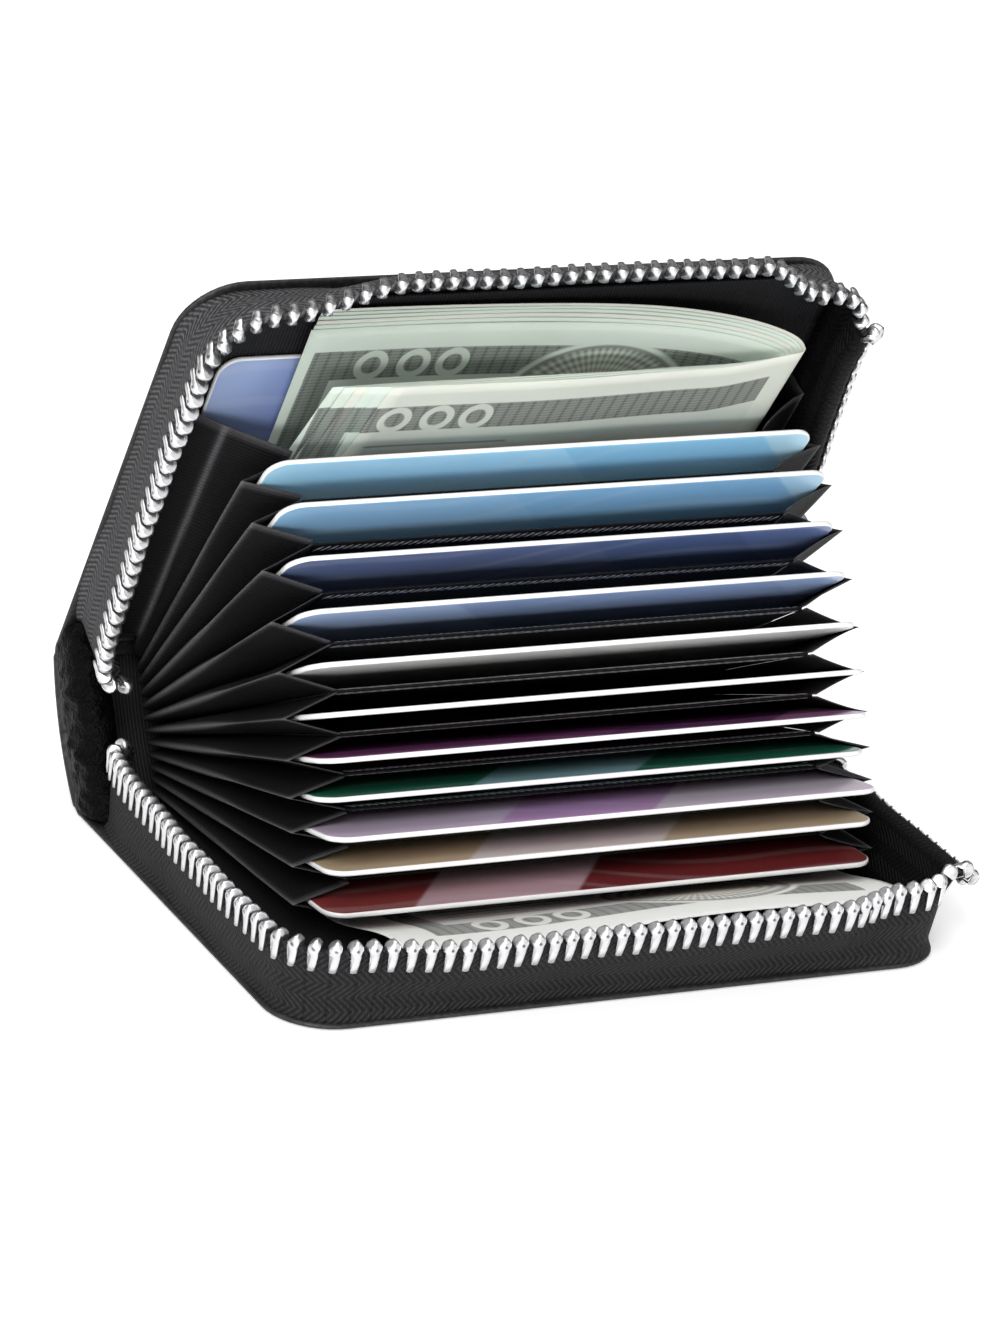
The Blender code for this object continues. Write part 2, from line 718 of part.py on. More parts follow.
def fold_ring(ridge, upper_seam, lower_seam, upper_rise, lower_rise, sharpness, thickness, ridge_thickness, shares):
    """A closed ring round the cut of one folded strip: its outer face, then its inner face back."""
    ridge, upper_seam, lower_seam = np.array(ridge), np.array(upper_seam), np.array(lower_seam)
    inward = (lower_seam - ridge) / np.linalg.norm(lower_seam - ridge)
    inner_ridge = ridge + inward * ridge_thickness
    arm = np.array([np.dot(upper_seam - ridge, inward), upper_rise])
    across, up = arm / np.linalg.norm(arm)
    upper_sharpness = 1 + (sharpness - 1) * max(across, 0)
    outer_rise = upper_rise + min(across, 0) * thickness
    inner_upper_seam = upper_seam + inward * up * thickness
    outer = fold_curve(upper_seam, ridge, outer_rise, upper_sharpness, shares)
    outer += [(x, y, -z) for x, y, z in fold_curve(lower_seam, ridge, lower_rise, sharpness, shares)][-2::-1]
    inner = fold_curve(inner_upper_seam, inner_ridge, outer_rise - across * thickness, upper_sharpness, shares)
    inner += [(x, y, -z) for x, y, z in fold_curve(lower_seam, inner_ridge, lower_rise - thickness, sharpness, shares)][-2::-1]
    return outer + inner[::-1]


def in_pocket(points, pocket_height, pocket_angle):
    """(x, reach, height above the pocket's middle plane) carried to where the pocket stands."""
    shut = [(x, -reach, pocket_height + height) for x, reach, height in points]
    return with_leaf(shut, pocket_height, pocket_angle)


def pleat(number, pocket_height, pocket_angle, above, below):
    """The folded strip that joins two leaves at both sides and behind. above and below are (fold height, angle, depth) of the leaves."""

    def rises(reach):
        upper = leaf_clearance(*above, pocket_height, pocket_angle, reach)
        lower = leaf_clearance(*below, pocket_height, pocket_angle, reach)
        return upper - PLEAT_MARGIN, -lower - PLEAT_MARGIN

    seam_half = LEAF_WIDTH / 2 + PLEAT_SEAM_GAP
    stations = []
    for share in FLANGE_RUN_shares if number == 0 else PLEAT_RUN_shares:
        reach = PLEAT_DEPTH * share
        half = PLEAT_HALF_BACK + (PLEAT_HALF_FRONT - PLEAT_HALF_BACK) * smooth_step(share)
        sharpness = PLEAT_SHARP_BACK + (PLEAT_SHARP_FRONT - PLEAT_SHARP_BACK) * smooth_step(share)
        stations.append(((half, reach), (seam_half, reach), sharpness))
    for half_share, reach_share, seam_share in PLEAT_CORNER_shares:
        ridge = (PLEAT_HALF_BACK * half_share, PLEAT_BACK + PLEAT_BACK_SEAM * reach_share)
        seam_reach = PLEAT_BACK_SEAM + PLEAT_BACK_SEAM * (1 - seam_share)
        stations.append((ridge, (seam_half - PLEAT_BACK * seam_share, seam_reach), PLEAT_SHARP_BACK))
    middle_half = seam_half - PLEAT_BACK_SEAM
    stations.append(((middle_half, PLEAT_BACK), (middle_half, PLEAT_BACK_SEAM), PLEAT_SHARP_BACK))
    rings = []
    sides = [(-1, station) for station in stations] + [(1, station) for station in reversed(stations)]
    for side, (ridge, seam, sharpness) in sides:
        upper_seam = seam
        if number == 0:
            flange = COVER_WIDTH / 2 - FLANGE_INSET - side * ACCORDION_SHIFT
            spread = smooth_step((seam[1] - FLANGE_START) / FLANGE_SWING)
            upper_seam = (seam[0] + (flange - seam[0]) * spread, seam[1])
        upper_rise, lower_rise = rises(ridge[1])
        ring = fold_ring(
            (side * ridge[0], ridge[1]),
            (side * upper_seam[0], upper_seam[1]),
            (side * seam[0], seam[1]),
            upper_rise,
            lower_rise,
            sharpness,
            PLEAT_THICKNESS,
            PLEAT_RIDGE_THICKNESS,
            PLEAT_PROFILE_shares,
        )
        ring = [(ACCORDION_SHIFT + x, reach, height) for x, reach, height in ring]
        rings.append(in_pocket(ring, pocket_height, pocket_angle))
    points, faces = folded_tube(rings)
    solid(f"pleat_{number:02d}", points, facing_out(points, faces), "accordion_fabric")


def card_shape(back, shift, bottom):
    half = CARD_WIDTH / 2
    front = back + CARD_DEPTH
    outline = rounded_outline(
        shift - half,
        shift + half,
        -front,
        -back,
        CARD_CORNER,
        CARD_CORNER,
        CARD_CORNER_STEPS,
    )
    return prism(outline, bottom, bottom + CARD_THICKNESS)


def card(number):
    """A card in the middle of its pocket, its side edges inside the pleats."""
    height = POCKET_HEIGHTS[number - 1]
    shift = ACCORDION_SHIFT + CARD_SHIFTS[number - 1]
    points, faces = card_shape(CARD_BACKS[number - 1], shift, height - CARD_THICKNESS / 2)
    points = with_leaf(points, height, POCKET_ANGLES[number - 1])
    solid(f"card_{number:02d}", points, facing_out(points, faces), CARD_MATERIALS[number - 1])


def folded_notes(name, back, front, left, right, thickness, gap, pocket_height, pocket_angle, above, below):
    """Banknotes folded once: two leaves that part towards the left and meet in a fold at the right."""
    rings = []
    for share in NOTE_RUN_shares:
        reach = back + (front - back) * share
        upper = leaf_clearance(*above, pocket_height, pocket_angle, reach) - gap
        lower = -leaf_clearance(*below, pocket_height, pocket_angle, reach) - gap - NOTE_LIFT * share
        ring = fold_ring(
            (right, reach),
            (left, reach),
            (left, reach),
            upper,
            lower,
            NOTE_ROUNDNESS,
            thickness,
            thickness,
            NOTE_PROFILE_shares,
        )
        rings.append(in_pocket(ring, pocket_height, pocket_angle))
    points, faces = folded_tube(rings)
    solid(name, points, facing_out(points, faces), "banknote_paper", smooth=False)


def main():
    clear_scene()
    cover("lower", as_shut)
    cover("upper", as_upper)

    spine_strip("spine_leather", SPINE_SETBACK, SPINE_THICKNESS, SPINE_END_CLEARANCE, 0, "black_leather")
    spine_strip(
        "spine_lining",
        SPINE_LINING_SETBACK,
        LINING_THICKNESS,
        SPINE_END_CLEARANCE + LEATHER_THICKNESS,
        SPINE_LINING_INSET,
        "black_lining",
    )
    spine_tab("spine_tab_left", -1)
    spine_tab("spine_tab_right", 1)

    zip_tape("lower_zip_tape", as_shut, LOWER_FLARES)
    zip_tape("upper_zip_tape", as_upper, UPPER_FLARES)
    zip_teeth("lower_zip_teeth", as_shut, LOWER_FLARES, 0)
    zip_teeth("upper_zip_teeth", as_upper, UPPER_FLARES, 0.5)
    zip_pull(*zip_slider())
    zip_end_stop()

    leaves = [(height, angle, 0) for height, angle in zip(LEAF_HEIGHTS, LEAF_ANGLES)]
    for number in range(1, POCKETS + 2):
        divider(number)
    for number in range(1, POCKETS + 1):
        above, below = leaves[number - 1], leaves[number]
        pleat(number, POCKET_HEIGHTS[number - 1], POCKET_ANGLES[number - 1], above, below)
        card(number)

    # The banknote compartment lies between the upper lining and the top divider.
    opening = 2 * HALF_OPENING
    ceiling = CLOSED_THICKNESS - LINING_TOP
    compartment_height = (ceiling + LEAF_HEIGHTS[0]) / 2
    compartment_angle = (opening + TOP_LEAF_ANGLE) / 2
    roof = (UPPER_HINGE_HEIGHT, opening, UPPER_HINGE_HEIGHT - ceiling)
    pleat(0, compartment_height, compartment_angle, roof, leaves[0])

    loose_bottom = LINING_TOP + LOOSE_CARD_GAP
    loose = card_shape(LOOSE_CARD_BACK, LOOSE_CARD_SHIFT + ACCORDION_SHIFT, loose_bottom)
    placed("loose_card", loose, as_upper, "card_periwinkle")

    card_face = (UPPER_HINGE_HEIGHT, opening, UPPER_HINGE_HEIGHT - ceiling + LOOSE_CARD_GAP + CARD_THICKNESS)
    notes_height = (ceiling - LOOSE_CARD_GAP - CARD_THICKNESS + LEAF_HEIGHTS[0]) / 2
    gap = NOTE_GAP
    for name, back, front, left, right, thickness in (
        (
            "folded_notes_outer",
            OUTER_NOTE_BACK,
            OUTER_NOTE_FRONT,
            OUTER_NOTE_LEFT,
            OUTER_NOTE_RIGHT,
            OUTER_NOTE_THICKNESS,
        ),
        (
            "folded_notes_inner",
            INNER_NOTE_BACK,
            INNER_NOTE_FRONT,
            INNER_NOTE_LEFT,
            INNER_NOTE_RIGHT,
            INNER_NOTE_THICKNESS,
        ),
    ):
        folded_notes(
            name,
            back,
            front,
            left,
            right,
            thickness,
            gap,
            notes_height,
            compartment_angle,
            card_face,
            leaves[0],
        )
        gap += thickness + NOTE_GAP

    lower_note = box_outline(LOWER_NOTE_LEFT, LOWER_NOTE_RIGHT, -LOWER_NOTE_FRONT, -LOWER_NOTE_BACK)
    note_bottom = LINING_TOP + LAYER_GAP
    placed(
        "lower_note",
        prism(lower_note, note_bottom, note_bottom + LOWER_NOTE_THICKNESS),
        as_shut,
        "banknote_paper",
    )


main()
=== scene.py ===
import math

import bpy
import numpy as np
from mathutils import Matrix


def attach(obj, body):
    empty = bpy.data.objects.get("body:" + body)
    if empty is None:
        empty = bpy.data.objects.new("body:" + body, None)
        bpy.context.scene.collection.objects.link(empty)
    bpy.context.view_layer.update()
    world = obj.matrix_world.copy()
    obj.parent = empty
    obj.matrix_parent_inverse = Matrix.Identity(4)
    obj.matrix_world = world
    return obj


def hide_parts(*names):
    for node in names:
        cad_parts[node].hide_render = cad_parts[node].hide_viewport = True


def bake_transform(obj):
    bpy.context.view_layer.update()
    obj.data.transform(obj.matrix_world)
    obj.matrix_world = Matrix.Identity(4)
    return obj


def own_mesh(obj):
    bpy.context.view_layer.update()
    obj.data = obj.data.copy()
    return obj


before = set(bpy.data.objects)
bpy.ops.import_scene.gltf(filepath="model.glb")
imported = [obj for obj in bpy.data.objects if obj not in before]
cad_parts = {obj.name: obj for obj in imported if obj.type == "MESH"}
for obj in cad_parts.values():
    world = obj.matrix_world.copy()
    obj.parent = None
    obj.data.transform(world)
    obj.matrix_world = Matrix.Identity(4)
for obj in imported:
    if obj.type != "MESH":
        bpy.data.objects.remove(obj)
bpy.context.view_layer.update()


# Covers.
# Two hard covers of black pebbled leather over stiffener board, lined inside with ribbed cloth.
# Each is laid out as it lies shut, then turned open. A line of saddle stitches runs round three edges.

MM = 0.001
HALF_OPENING = math.radians(32.0)
HINGE_HEIGHT = 0.0012
CLOSED_THICKNESS = 0.0264
UPPER_HINGE_HEIGHT = CLOSED_THICKNESS - HINGE_HEIGHT
MIDDLE = CLOSED_THICKNESS / 2
COVER_WIDTH = 0.103
COVER_DEPTH = 0.072
COVER_BACK = 0.001
COVER_CORNER = 0.009
LEAST_CORNER = 0.0003
BACK_INSET_SHARE = 0.2
# inset from the outline and height, from the middle of the outer face round the edge to the inner face
COVER_EDGE = ((20, 0), (5.4, 0), (4.3, 0.02), (3.5, 0.11), (3.0, 0.15), (2.5, 0.15), (1.9, 0.07), (1.2, 0.05),
              (0.6, 0.1), (0.22, 0.24), (0.02, 0.5), (0.1, 0.74), (0.4, 0.9), (0.9, 0.95), (20, 0.95))
STITCH_INSET = 0.00275
STITCH_PITCH = 0.0027
STITCH_LENGTH = 0.0022
STITCH_RADIUS = 0.00021
STITCH_SINK = 0.00014


def turned(points, height, angle):
    """y' = y cos a + (z - h) sin a and z' = h + (z - h) cos a - y sin a: a turn by a about the fold at height h."""
    along, above = points[..., 1], points[..., 2] - height
    y = along * np.cos(angle) + above * np.sin(angle)
    z = height + above * np.cos(angle) - along * np.sin(angle)
    return np.stack([points[..., 0], y, z], axis=-1)


def with_spine(points):
    """Points of the shut wallet, turned with the spine by half the opening about the lower hinge."""
    return turned(points, HINGE_HEIGHT, HALF_OPENING)


def as_lower(points):
    """The lower cover stays as it is laid out."""
    return points


def as_upper(points):
    """The lower cover's layout mirrored in the shut wallet's middle plane, then opened with the spine and the cover."""
    mirrored = points * (1, 1, -1) + (0, 0, CLOSED_THICKNESS)
    return with_spine(turned(mirrored, UPPER_HINGE_HEIGHT, HALF_OPENING))


SIDES = {"lower": as_lower, "upper": as_upper}


def smooth_step(share):
    """3 s^2 - 2 s^3, held between 0 and 1."""
    share = np.clip(share, 0, 1)
    return share * share * (3 - 2 * share)


def grid_faces(rows, columns, wrap_columns=False):
    """The quads of a grid of points that are numbered row by row."""
    row = np.arange(rows - 1)[:, None]
    column = np.arange(columns if wrap_columns else columns - 1)[None, :]
    below, beside = row + 1, (column + 1) % columns
    corners = [row * columns + column, row * columns + beside, below * columns + beside, below * columns + column]
    return np.stack(corners, axis=-1).reshape(-1, 4)


def ring_faces(rings, count):
    """The quads between rings of points that are numbered ring by ring, and the caps of the first and last ring."""
    quads = grid_faces(rings, count, wrap_columns=True)
    return quads, (np.arange(count)[::-1], np.arange(count) + (rings - 1) * count)


def piece(name, points, quads, caps=(), pattern=None, marks=None):
    """An object at the origin from points and faces, turned to face out by the sign of its volume, sum(a . b x c) / 6.

    pattern holds two coordinates in millimetres for each point, kept as the UV map. marks are named point values.
    """
    points = points.reshape(-1, 3)
    loops = [quads.reshape(-1), *caps]
    sizes = np.array([4] * len(quads) + [len(cap) for cap in caps])
    a, b, c, d = (points[quads[:, i]] for i in range(4))
    volume = np.sum(a * np.cross(b, c)) + np.sum(a * np.cross(c, d))
    for cap in caps:
        corners = points[cap]
        volume += np.sum(corners[0] * np.cross(corners[1:-1], corners[2:]))
    if volume < 0:
        loops = [quads[:, ::-1].reshape(-1), *(cap[::-1] for cap in caps)]
    loops = np.concatenate(loops)
    mesh = bpy.data.meshes.new(name)
    mesh.vertices.add(len(points))
    mesh.vertices.foreach_set("co", points.ravel())
    mesh.loops.add(len(loops))
    mesh.loops.foreach_set("vertex_index", loops)
    mesh.polygons.add(len(sizes))
    mesh.polygons.foreach_set("loop_start", np.cumsum(sizes) - sizes)
    mesh.update(calc_edges=True)
    if pattern is not None:
        layer = mesh.uv_layers.new(name="UVMap")
        layer.data.foreach_set("uv", pattern.reshape(-1, 2)[loops].ravel())
    for key, values in (marks or {}).items():
        mark = mesh.attributes.new(key, "FLOAT", "POINT")
        mark.data.foreach_set("value", np.asarray(values, float).ravel())
    mesh.validate()
    mesh.polygons.foreach_set("use_smooth", np.full(len(sizes), True))
    made = bpy.data.objects.new(name, mesh)
    bpy.context.scene.collection.objects.link(made)
    return made


def inset_outline(inset):
    """A cover's outline moved in by inset: straight sides and back, quarter circles at the two mouth corners."""
    radius = max(COVER_CORNER - inset, LEAST_CORNER)
    quarter = np.linspace(0, math.pi / 2, 11)
    arc = np.stack([np.cos(quarter), np.sin(quarter)], axis=-1) * radius
    x, y = COVER_WIDTH / 2 - inset, COVER_DEPTH - inset
    right = np.array([x - radius, radius - y]) + arc[::-1] * (1, -1)
    side = np.linspace(radius - y, COVER_BACK - inset * BACK_INSET_SHARE, 14)[1:]
    right = np.concatenate([right, np.stack([np.full(13, x), side], axis=-1)])
    left = right[::-1] * (-1, 1)
    middle = np.linspace(left[-1], right[0], 14)[1:-1]
    return np.concatenate([left, middle, right])


def cover_skin(side):
    """Rings of the cover's outline, moved in and raised by COVER_EDGE, joined in order and capped at both ends."""
    rings = []
    for inset, height in COVER_EDGE:
        outline = inset_outline(inset * MM)
        rings.append(np.column_stack([outline, np.full(len(outline), height * MM)]))
    return piece(f"{side}_cover_skin", SIDES[side](np.concatenate(rings)), *ring_faces(len(rings), len(rings[0])))


def stitch_shape(length, radius, sides=6, stations=7):
    """A thread bead along X: radius r sqrt(1 - t^4) at x = t length / 2, so that its ends draw in."""
    t = np.linspace(-0.985, 0.985, stations)[:, None]
    angle = np.linspace(0, 2 * math.pi, sides, endpoint=False)[None, :]
    swell = radius * (1 - t**4) ** 0.5
    points = np.stack([t * length / 2 + 0 * angle, swell * np.cos(angle), swell * np.sin(angle)], axis=-1)
    return (points.reshape(-1, 3), *ring_faces(stations, sides))


def repeated(shape, origins, ahead, aside, above):
    """Copies of a small shape: each point is origin + x ahead + y aside + z above."""
    points, quads, caps = shape
    count = len(points)
    axes = np.stack([ahead, aside, above], axis=1)
    placed = origins[:, None, :] + np.einsum("pk,nkj->npj", points, axes)
    shift = np.arange(len(origins)) * count
    quads = (quads[None] + shift[:, None, None]).reshape(-1, 4)
    caps = [cap + start for start in shift for cap in caps]
    return placed.reshape(-1, 3), quads, caps


def sewn(name, place, bead, origins, ahead, above):
    """Beads of thread at their origins in the shut layout, each lying ahead with its upper side above."""
    ahead, above = ahead + 0 * origins, above + 0 * origins
    points, quads, caps = repeated(bead, origins, ahead, np.cross(above, ahead), above)
    return piece(name, place(points), quads, caps)


def path_lengths(path):
    """The distance along a path at each of its points."""
    return np.append(0, np.cumsum(np.linalg.norm(np.diff(path, axis=0), axis=1)))


def read_at(at, lengths, values):
    """Each column of values, known at lengths, read at other distances."""
    return np.stack([np.interp(at, lengths, column) for column in values.T], axis=1)


def unit(vectors):
    """Each vector divided by its length."""
    return vectors / np.linalg.norm(vectors, axis=1)[:, None]


def sideways(path):
    """Unit vectors square to a flat path, to its left."""
    slope = np.gradient(path, axis=0)
    return unit(np.stack([-slope[:, 1], slope[:, 0]], axis=1))


def cover_stitches(side):
    """Beads at an even pitch along the outline, just proud of the leather's outer face."""
    path = inset_outline(STITCH_INSET)
    lengths = path_lengths(path)
    at = np.arange(STITCH_PITCH / 2, lengths[-1], STITCH_PITCH)
    origins = np.column_stack([read_at(at, lengths, path), np.full(len(at), STITCH_SINK)])
    ahead = np.column_stack([unit(read_at(at, lengths, np.gradient(path, lengths, axis=0))), 0 * at])
    bead = stitch_shape(STITCH_LENGTH, STITCH_RADIUS)
    return sewn(f"{side}_cover_stitches", SIDES[side], bead, origins, ahead, (0.0, 0.0, -1.0))


class Level:
    """A shader socket in an expression: every operator adds one Math node beside it."""

    def __init__(self, finish, socket):
        self.finish, self.socket = finish, socket

    def math(self, operation, *values):
        """A Math node with this operation on the values."""
        settings = {"operation": operation, "use_clamp": False}
        return self.finish.node("ShaderNodeMath", settings, dict(enumerate(values)), "Value")

    def __add__(self, other):
        return self.math("ADD", self, other)

    def __sub__(self, other):
        return self.math("SUBTRACT", self, other)

    def __rsub__(self, other):
        return self.math("SUBTRACT", other, self)

    def __mul__(self, other):
        return self.math("MULTIPLY", self, other)

    def __pow__(self, other):
        return self.math("POWER", self, other)

    def __abs__(self):
        return self.math("ABSOLUTE", self)

    __radd__ = __add__
    __rmul__ = __mul__

    def sin(self):
        return self.math("SINE", self)

    def part(self):
        """What is left after the whole number."""
        return self.math("FRACT", self)

    def below(self, edge, soft):
        """1 where the level is under edge, 0 where it is over, blurred across soft."""
        settings = {"interpolation_type": "SMOOTHSTEP"}
        sockets = {"Value": self, "From Min": edge - soft, "From Max": edge + soft, "To Min": 1.0, "To Max": 0.0}
        return self.finish.node("ShaderNodeMapRange", settings, sockets, "Result")

    def over(self, edge, soft):
        """0 under the edge and 1 over it."""
        return 1 - self.below(edge, soft)


class Tree:
    """A node tree and the one of its nodes whose sockets take the result. node() makes every other node in it."""

    def __init__(self, owner, kind):
        owner.use_nodes = True
        self.tree = owner.node_tree
        self.shader = next(node for node in self.tree.nodes if node.type == kind)

    def node(self, kind, settings, sockets, output):
        """A node of this kind, its settings made first, then its sockets given values or links."""
        made = self.tree.nodes.new(kind)
        for key, value in settings.items():
            setattr(made, key, value)
        for key, value in sockets.items():
            if isinstance(value, Level):
                self.tree.links.new(value.socket, made.inputs[key])
            else:
                made.inputs[key].default_value = value
        return Level(self, made.outputs[output])

    def set(self, **links):
        """Links or sets sockets of the main node by name."""
        for key, value in links.items():
            socket = self.shader.inputs[key.replace("_", " ")]
            if isinstance(value, Level):
                self.tree.links.new(value.socket, socket)
            else:
                socket.default_value = value

    def ray(self, kind):
        """1 for camera, mirror ("Glossy") or see-through ("Transmission") rays."""
        return self.node("ShaderNodeLightPath", {}, {}, f"Is {kind} Ray")


class Finish(Tree):
    """One node material with a Principled shader, whose constants are set on its own sockets."""

    def __init__(self, name, **constants):
        self.material = bpy.data.materials.new(name)
        super().__init__(self.material, "BSDF_PRINCIPLED")
        super().set(**constants)

    def place(self):
        """The point's own coordinates on the object, in metres."""
        return self.node("ShaderNodeTexCoord", {}, {}, "Object")

    def pattern(self, axis):
        """One of the two pattern coordinates of the piece, in millimetres."""
        both = self.node("ShaderNodeUVMap", {"uv_map": "UVMap"}, {}, "UV")
        return self.node("ShaderNodeSeparateXYZ", {}, {"Vector": both}, axis)

    def mark(self, name):
        """A value that the piece keeps at each point."""
        return self.node("ShaderNodeAttribute", {"attribute_name": name}, {}, "Fac")

    def noise(self, scale, detail=3.0, rough=0.55):
        """Cloudy noise from 0 to 1, with this many cycles a metre."""
        sockets = {"Vector": self.place(), "Scale": scale, "Detail": detail, "Roughness": rough}
        return self.node("ShaderNodeTexNoise", {}, sockets, "Fac")

    def mix(self, share, first, second):
        """The first colour where share is 0 and the second where it is 1."""
        colours = [(*c, 1.0) if isinstance(c, tuple) else c for c in (first, second)]
        settings = {"data_type": "RGBA"}
        return self.node("ShaderNodeMix", settings, {0: share, 6: colours[0], 7: colours[1]}, 2)

    def bump(self, height, distance, strength=1.0):
        """The surface's normal as though it rose by height times distance."""
        sockets = {"Height": height, "Distance": distance, "Strength": strength}
        return self.node("ShaderNodeBump", {}, sockets, "Normal")

    def set(self, **links):
        """The same, and the finished material is given back."""
        super().set(**links)
        return self.material


def dress(made, material):
    """The piece shows this material alone."""
    made.data.materials.clear()
    made.data.materials.append(material)


def add(made, material, slot, body, *nodes):
    """The piece gets its material, moves with the body and is shown in place of the frame's nodes. The slot is not
    used.
    """
    dress(made, material)
    if body:
        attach(made, body)
    if nodes:
        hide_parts(*nodes)
    return made


def leather_finish():
    """Pebbles are soft Voronoi cells of about 0.8 mm with creases between them, over a slow drift in gloss."""
    leather = Finish("black_leather", Specular_IOR_Level=0.42)
    drift = leather.noise(60, 3)
    warp = leather.noise(700, 2)
    sockets = {"Vector": leather.place(), "Scale": 1150.0, "Smoothness": 0.35}
    cells = leather.node("ShaderNodeTexVoronoi", {"feature": "SMOOTH_F1"}, sockets, "Distance")
    grain = cells * 0.85 + warp * 0.4
    colour = leather.mix(cells.over(0.45, 0.3), (0.020, 0.020, 0.021), (0.008, 0.008, 0.009))
    return leather.set(
        Base_Color=colour,
        Roughness=0.40 + drift * 0.16 + cells * 0.12,
        Normal=leather.bump(1 - grain, 0.00016, 0.75),
    )


def thread_finish(name, colour):
    """Twisted thread: fine slanted plies across each bead."""
    thread = Finish(name, Roughness=0.7, Specular_IOR_Level=0.3)
    sockets = {"Vector": thread.place(), "Scale": 900.0, "Distortion": 1.0}
    plies = thread.node("ShaderNodeTexWave", {"bands_direction": "DIAGONAL"}, sockets, "Fac")
    dark = tuple(0.55 * c for c in colour)
    return thread.set(Base_Color=thread.mix(plies, dark, colour), Normal=thread.bump(plies, 0.00005, 0.6))


leather = leather_finish()
black_thread = thread_finish("black_thread", (0.035, 0.035, 0.037))
for side in SIDES:
    add(cover_skin(side), leather, "black_leather", f"{side}_cover", f"{side}_cover_leather")
    add(cover_stitches(side), black_thread, "black_leather", f"{side}_cover")


# Boards and linings.
# Grey board stiffens each cover between the leather and a black ribbed cloth lining, glued in flat.
# The solids of the frame are already these plain sheets, so they only get their finishes.

RIB_PITCH = 0.00052


def board_finish():
    """Pressed grey fibre, as noise in colour and height."""
    board = Finish("stiffener_board", Roughness=0.9)
    fibre = board.noise(2500, 4)
    colour = board.mix(fibre, (0.27, 0.25, 0.22), (0.42, 0.40, 0.36))
    return board.set(Base_Color=colour, Normal=board.bump(fibre, 0.00003))


def lining_finish():
    """Cords of cloth side by side: waves across X with a fine weft of noise, lighter in colour on the tops of the
    cords.
    """
    cloth = Finish("black_lining", Specular_IOR_Level=0.16)
    sockets = {"Vector": cloth.place(), "Scale": 0.314 / RIB_PITCH, "Distortion": 0.4, "Detail": 1.0}
    ribs = cloth.node("ShaderNodeTexWave", {"bands_direction": "X"}, sockets, "Fac")
    lint = cloth.noise(1800, 2)
    weft = cloth.noise(5200, 1)
    return cloth.set(
        Base_Color=cloth.mix(ribs * 0.7 + lint * 0.35, (0.006, 0.006, 0.007), (0.020, 0.020, 0.022)),
        Roughness=0.62 + lint * 0.2,
        Normal=cloth.bump(ribs * 0.8 + weft * 0.35, 0.00012, 0.8),
    )


lining = lining_finish()
board = board_finish()
for side in SIDES:
    dress(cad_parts[f"{side}_cover_lining"], lining)
    dress(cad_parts[f"{side}_cover_board"], board)


# Spine.
# One strip of the same leather joins the covers and bows back between them, with the lining inside it.
# Each half bends at its own cover, and a soft leather end closes the spine between the two zip tapes.

SPINE_SKIN_THICKNESS = 0.0009
# y and height of the leather's outer face in the shut wallet, from inside the lower cover's back edge to the middle
SPINE_PROFILE = ((-0.4, 0.5), (0.5, 0.22), (1.1, 0.16), (1.7, 0.3), (2.3, 0.85), (2.75, 1.7), (3.1, 3.0), (3.6, 5.0),
                 (4.1, 8.0), (4.35, 10.8), (4.42, 13.24))
# the heights in millimetres between which the leather turns with the cover, and how its two ends round off
SPINE_TURN = (0.25, 2.6)
SPINE_END_INSET = 0.00015
SPINE_EDGE_RUN = 0.0006
SPINE_EDGE_TUCK = 0.00022
GUSSET_THICKNESS = 0.0006
GUSSET_SPREAD = 0.8
INWARD_CRUMPLE = 0.55
FLOOR_GAP = 0.00004
GUSSET_LOW = 0.0014
GUSSET_SWELL = 0.00036
# x and y of the gusset's line in plan, from the spine's back round its end, and at the left in towards the zip
SPINE_END_LINES = {
    "left": ((-50.6, 2.7), (-51.4, 1.8), (-51.75, 0.3), (-51.85, -1.2), (-51.8, -2.8), (-51.4, -4.3), (-50.5, -5.3),
             (-49.3, -5.7), (-48.0, -5.5), (-46.8, -4.7), (-46.0, -3.6), (-45.4, -2.4)),
    "right": ((50.6, 2.7), (51.4, 1.8), (51.7, 0.3), (51.8, -1.2), (51.6, -2.8), (51.0, -4.0), (50.0, -4.4)),
}


def resampled(profile, count):
    """A polyline through the profile's points at an even spacing, softened twice by averaging neighbours."""
    profile = np.asarray(profile, float) * MM
    lengths = path_lengths(profile)
    return softened(read_at(np.linspace(0, lengths[-1], count), lengths, profile), 2)


def softened(line, times):
    """A line whose inner points go to half themselves and a quarter of each neighbour, this many times."""
    for _ in range(times):
        line[1:-1] = (line[:-2] + 2 * line[1:-1] + line[2:]) / 4
    return line


def slab(name, outer, inner, pattern=None, marks=None):
    """One closed body between two grids of points of one size, with a strip round their joined borders.

    pattern is the same on both faces. Each of the marks has its values on the outer face and then on the inner one.
    """
    rows, columns = outer.shape[:2]
    count = rows * columns
    number = np.arange(count).reshape(rows, columns)
    border = np.concatenate([number[0, :-1], number[:-1, -1], number[-1, :0:-1], number[:0:-1, 0]])
    after = np.roll(border, -1)
    face = grid_faces(rows, columns)
    rim = np.stack([after, border, border + count, after + count], axis=-1)
    quads = np.concatenate([face, face[:, ::-1] + count, rim])
    if pattern is not None:
        pattern = np.concatenate([pattern, pattern])
    return piece(name, np.concatenate([outer, inner]), quads, (), pattern, marks)


def half_opened(points, side, turn):
    """Points of one half of the shut spine, each turned by its share of half the opening about its cover's hinge."""
    if side == "lower":
        return turned(points, HINGE_HEIGHT, HALF_OPENING * turn)
    return with_spine(turned(points, UPPER_HINGE_HEIGHT, HALF_OPENING * (1 - turn)))


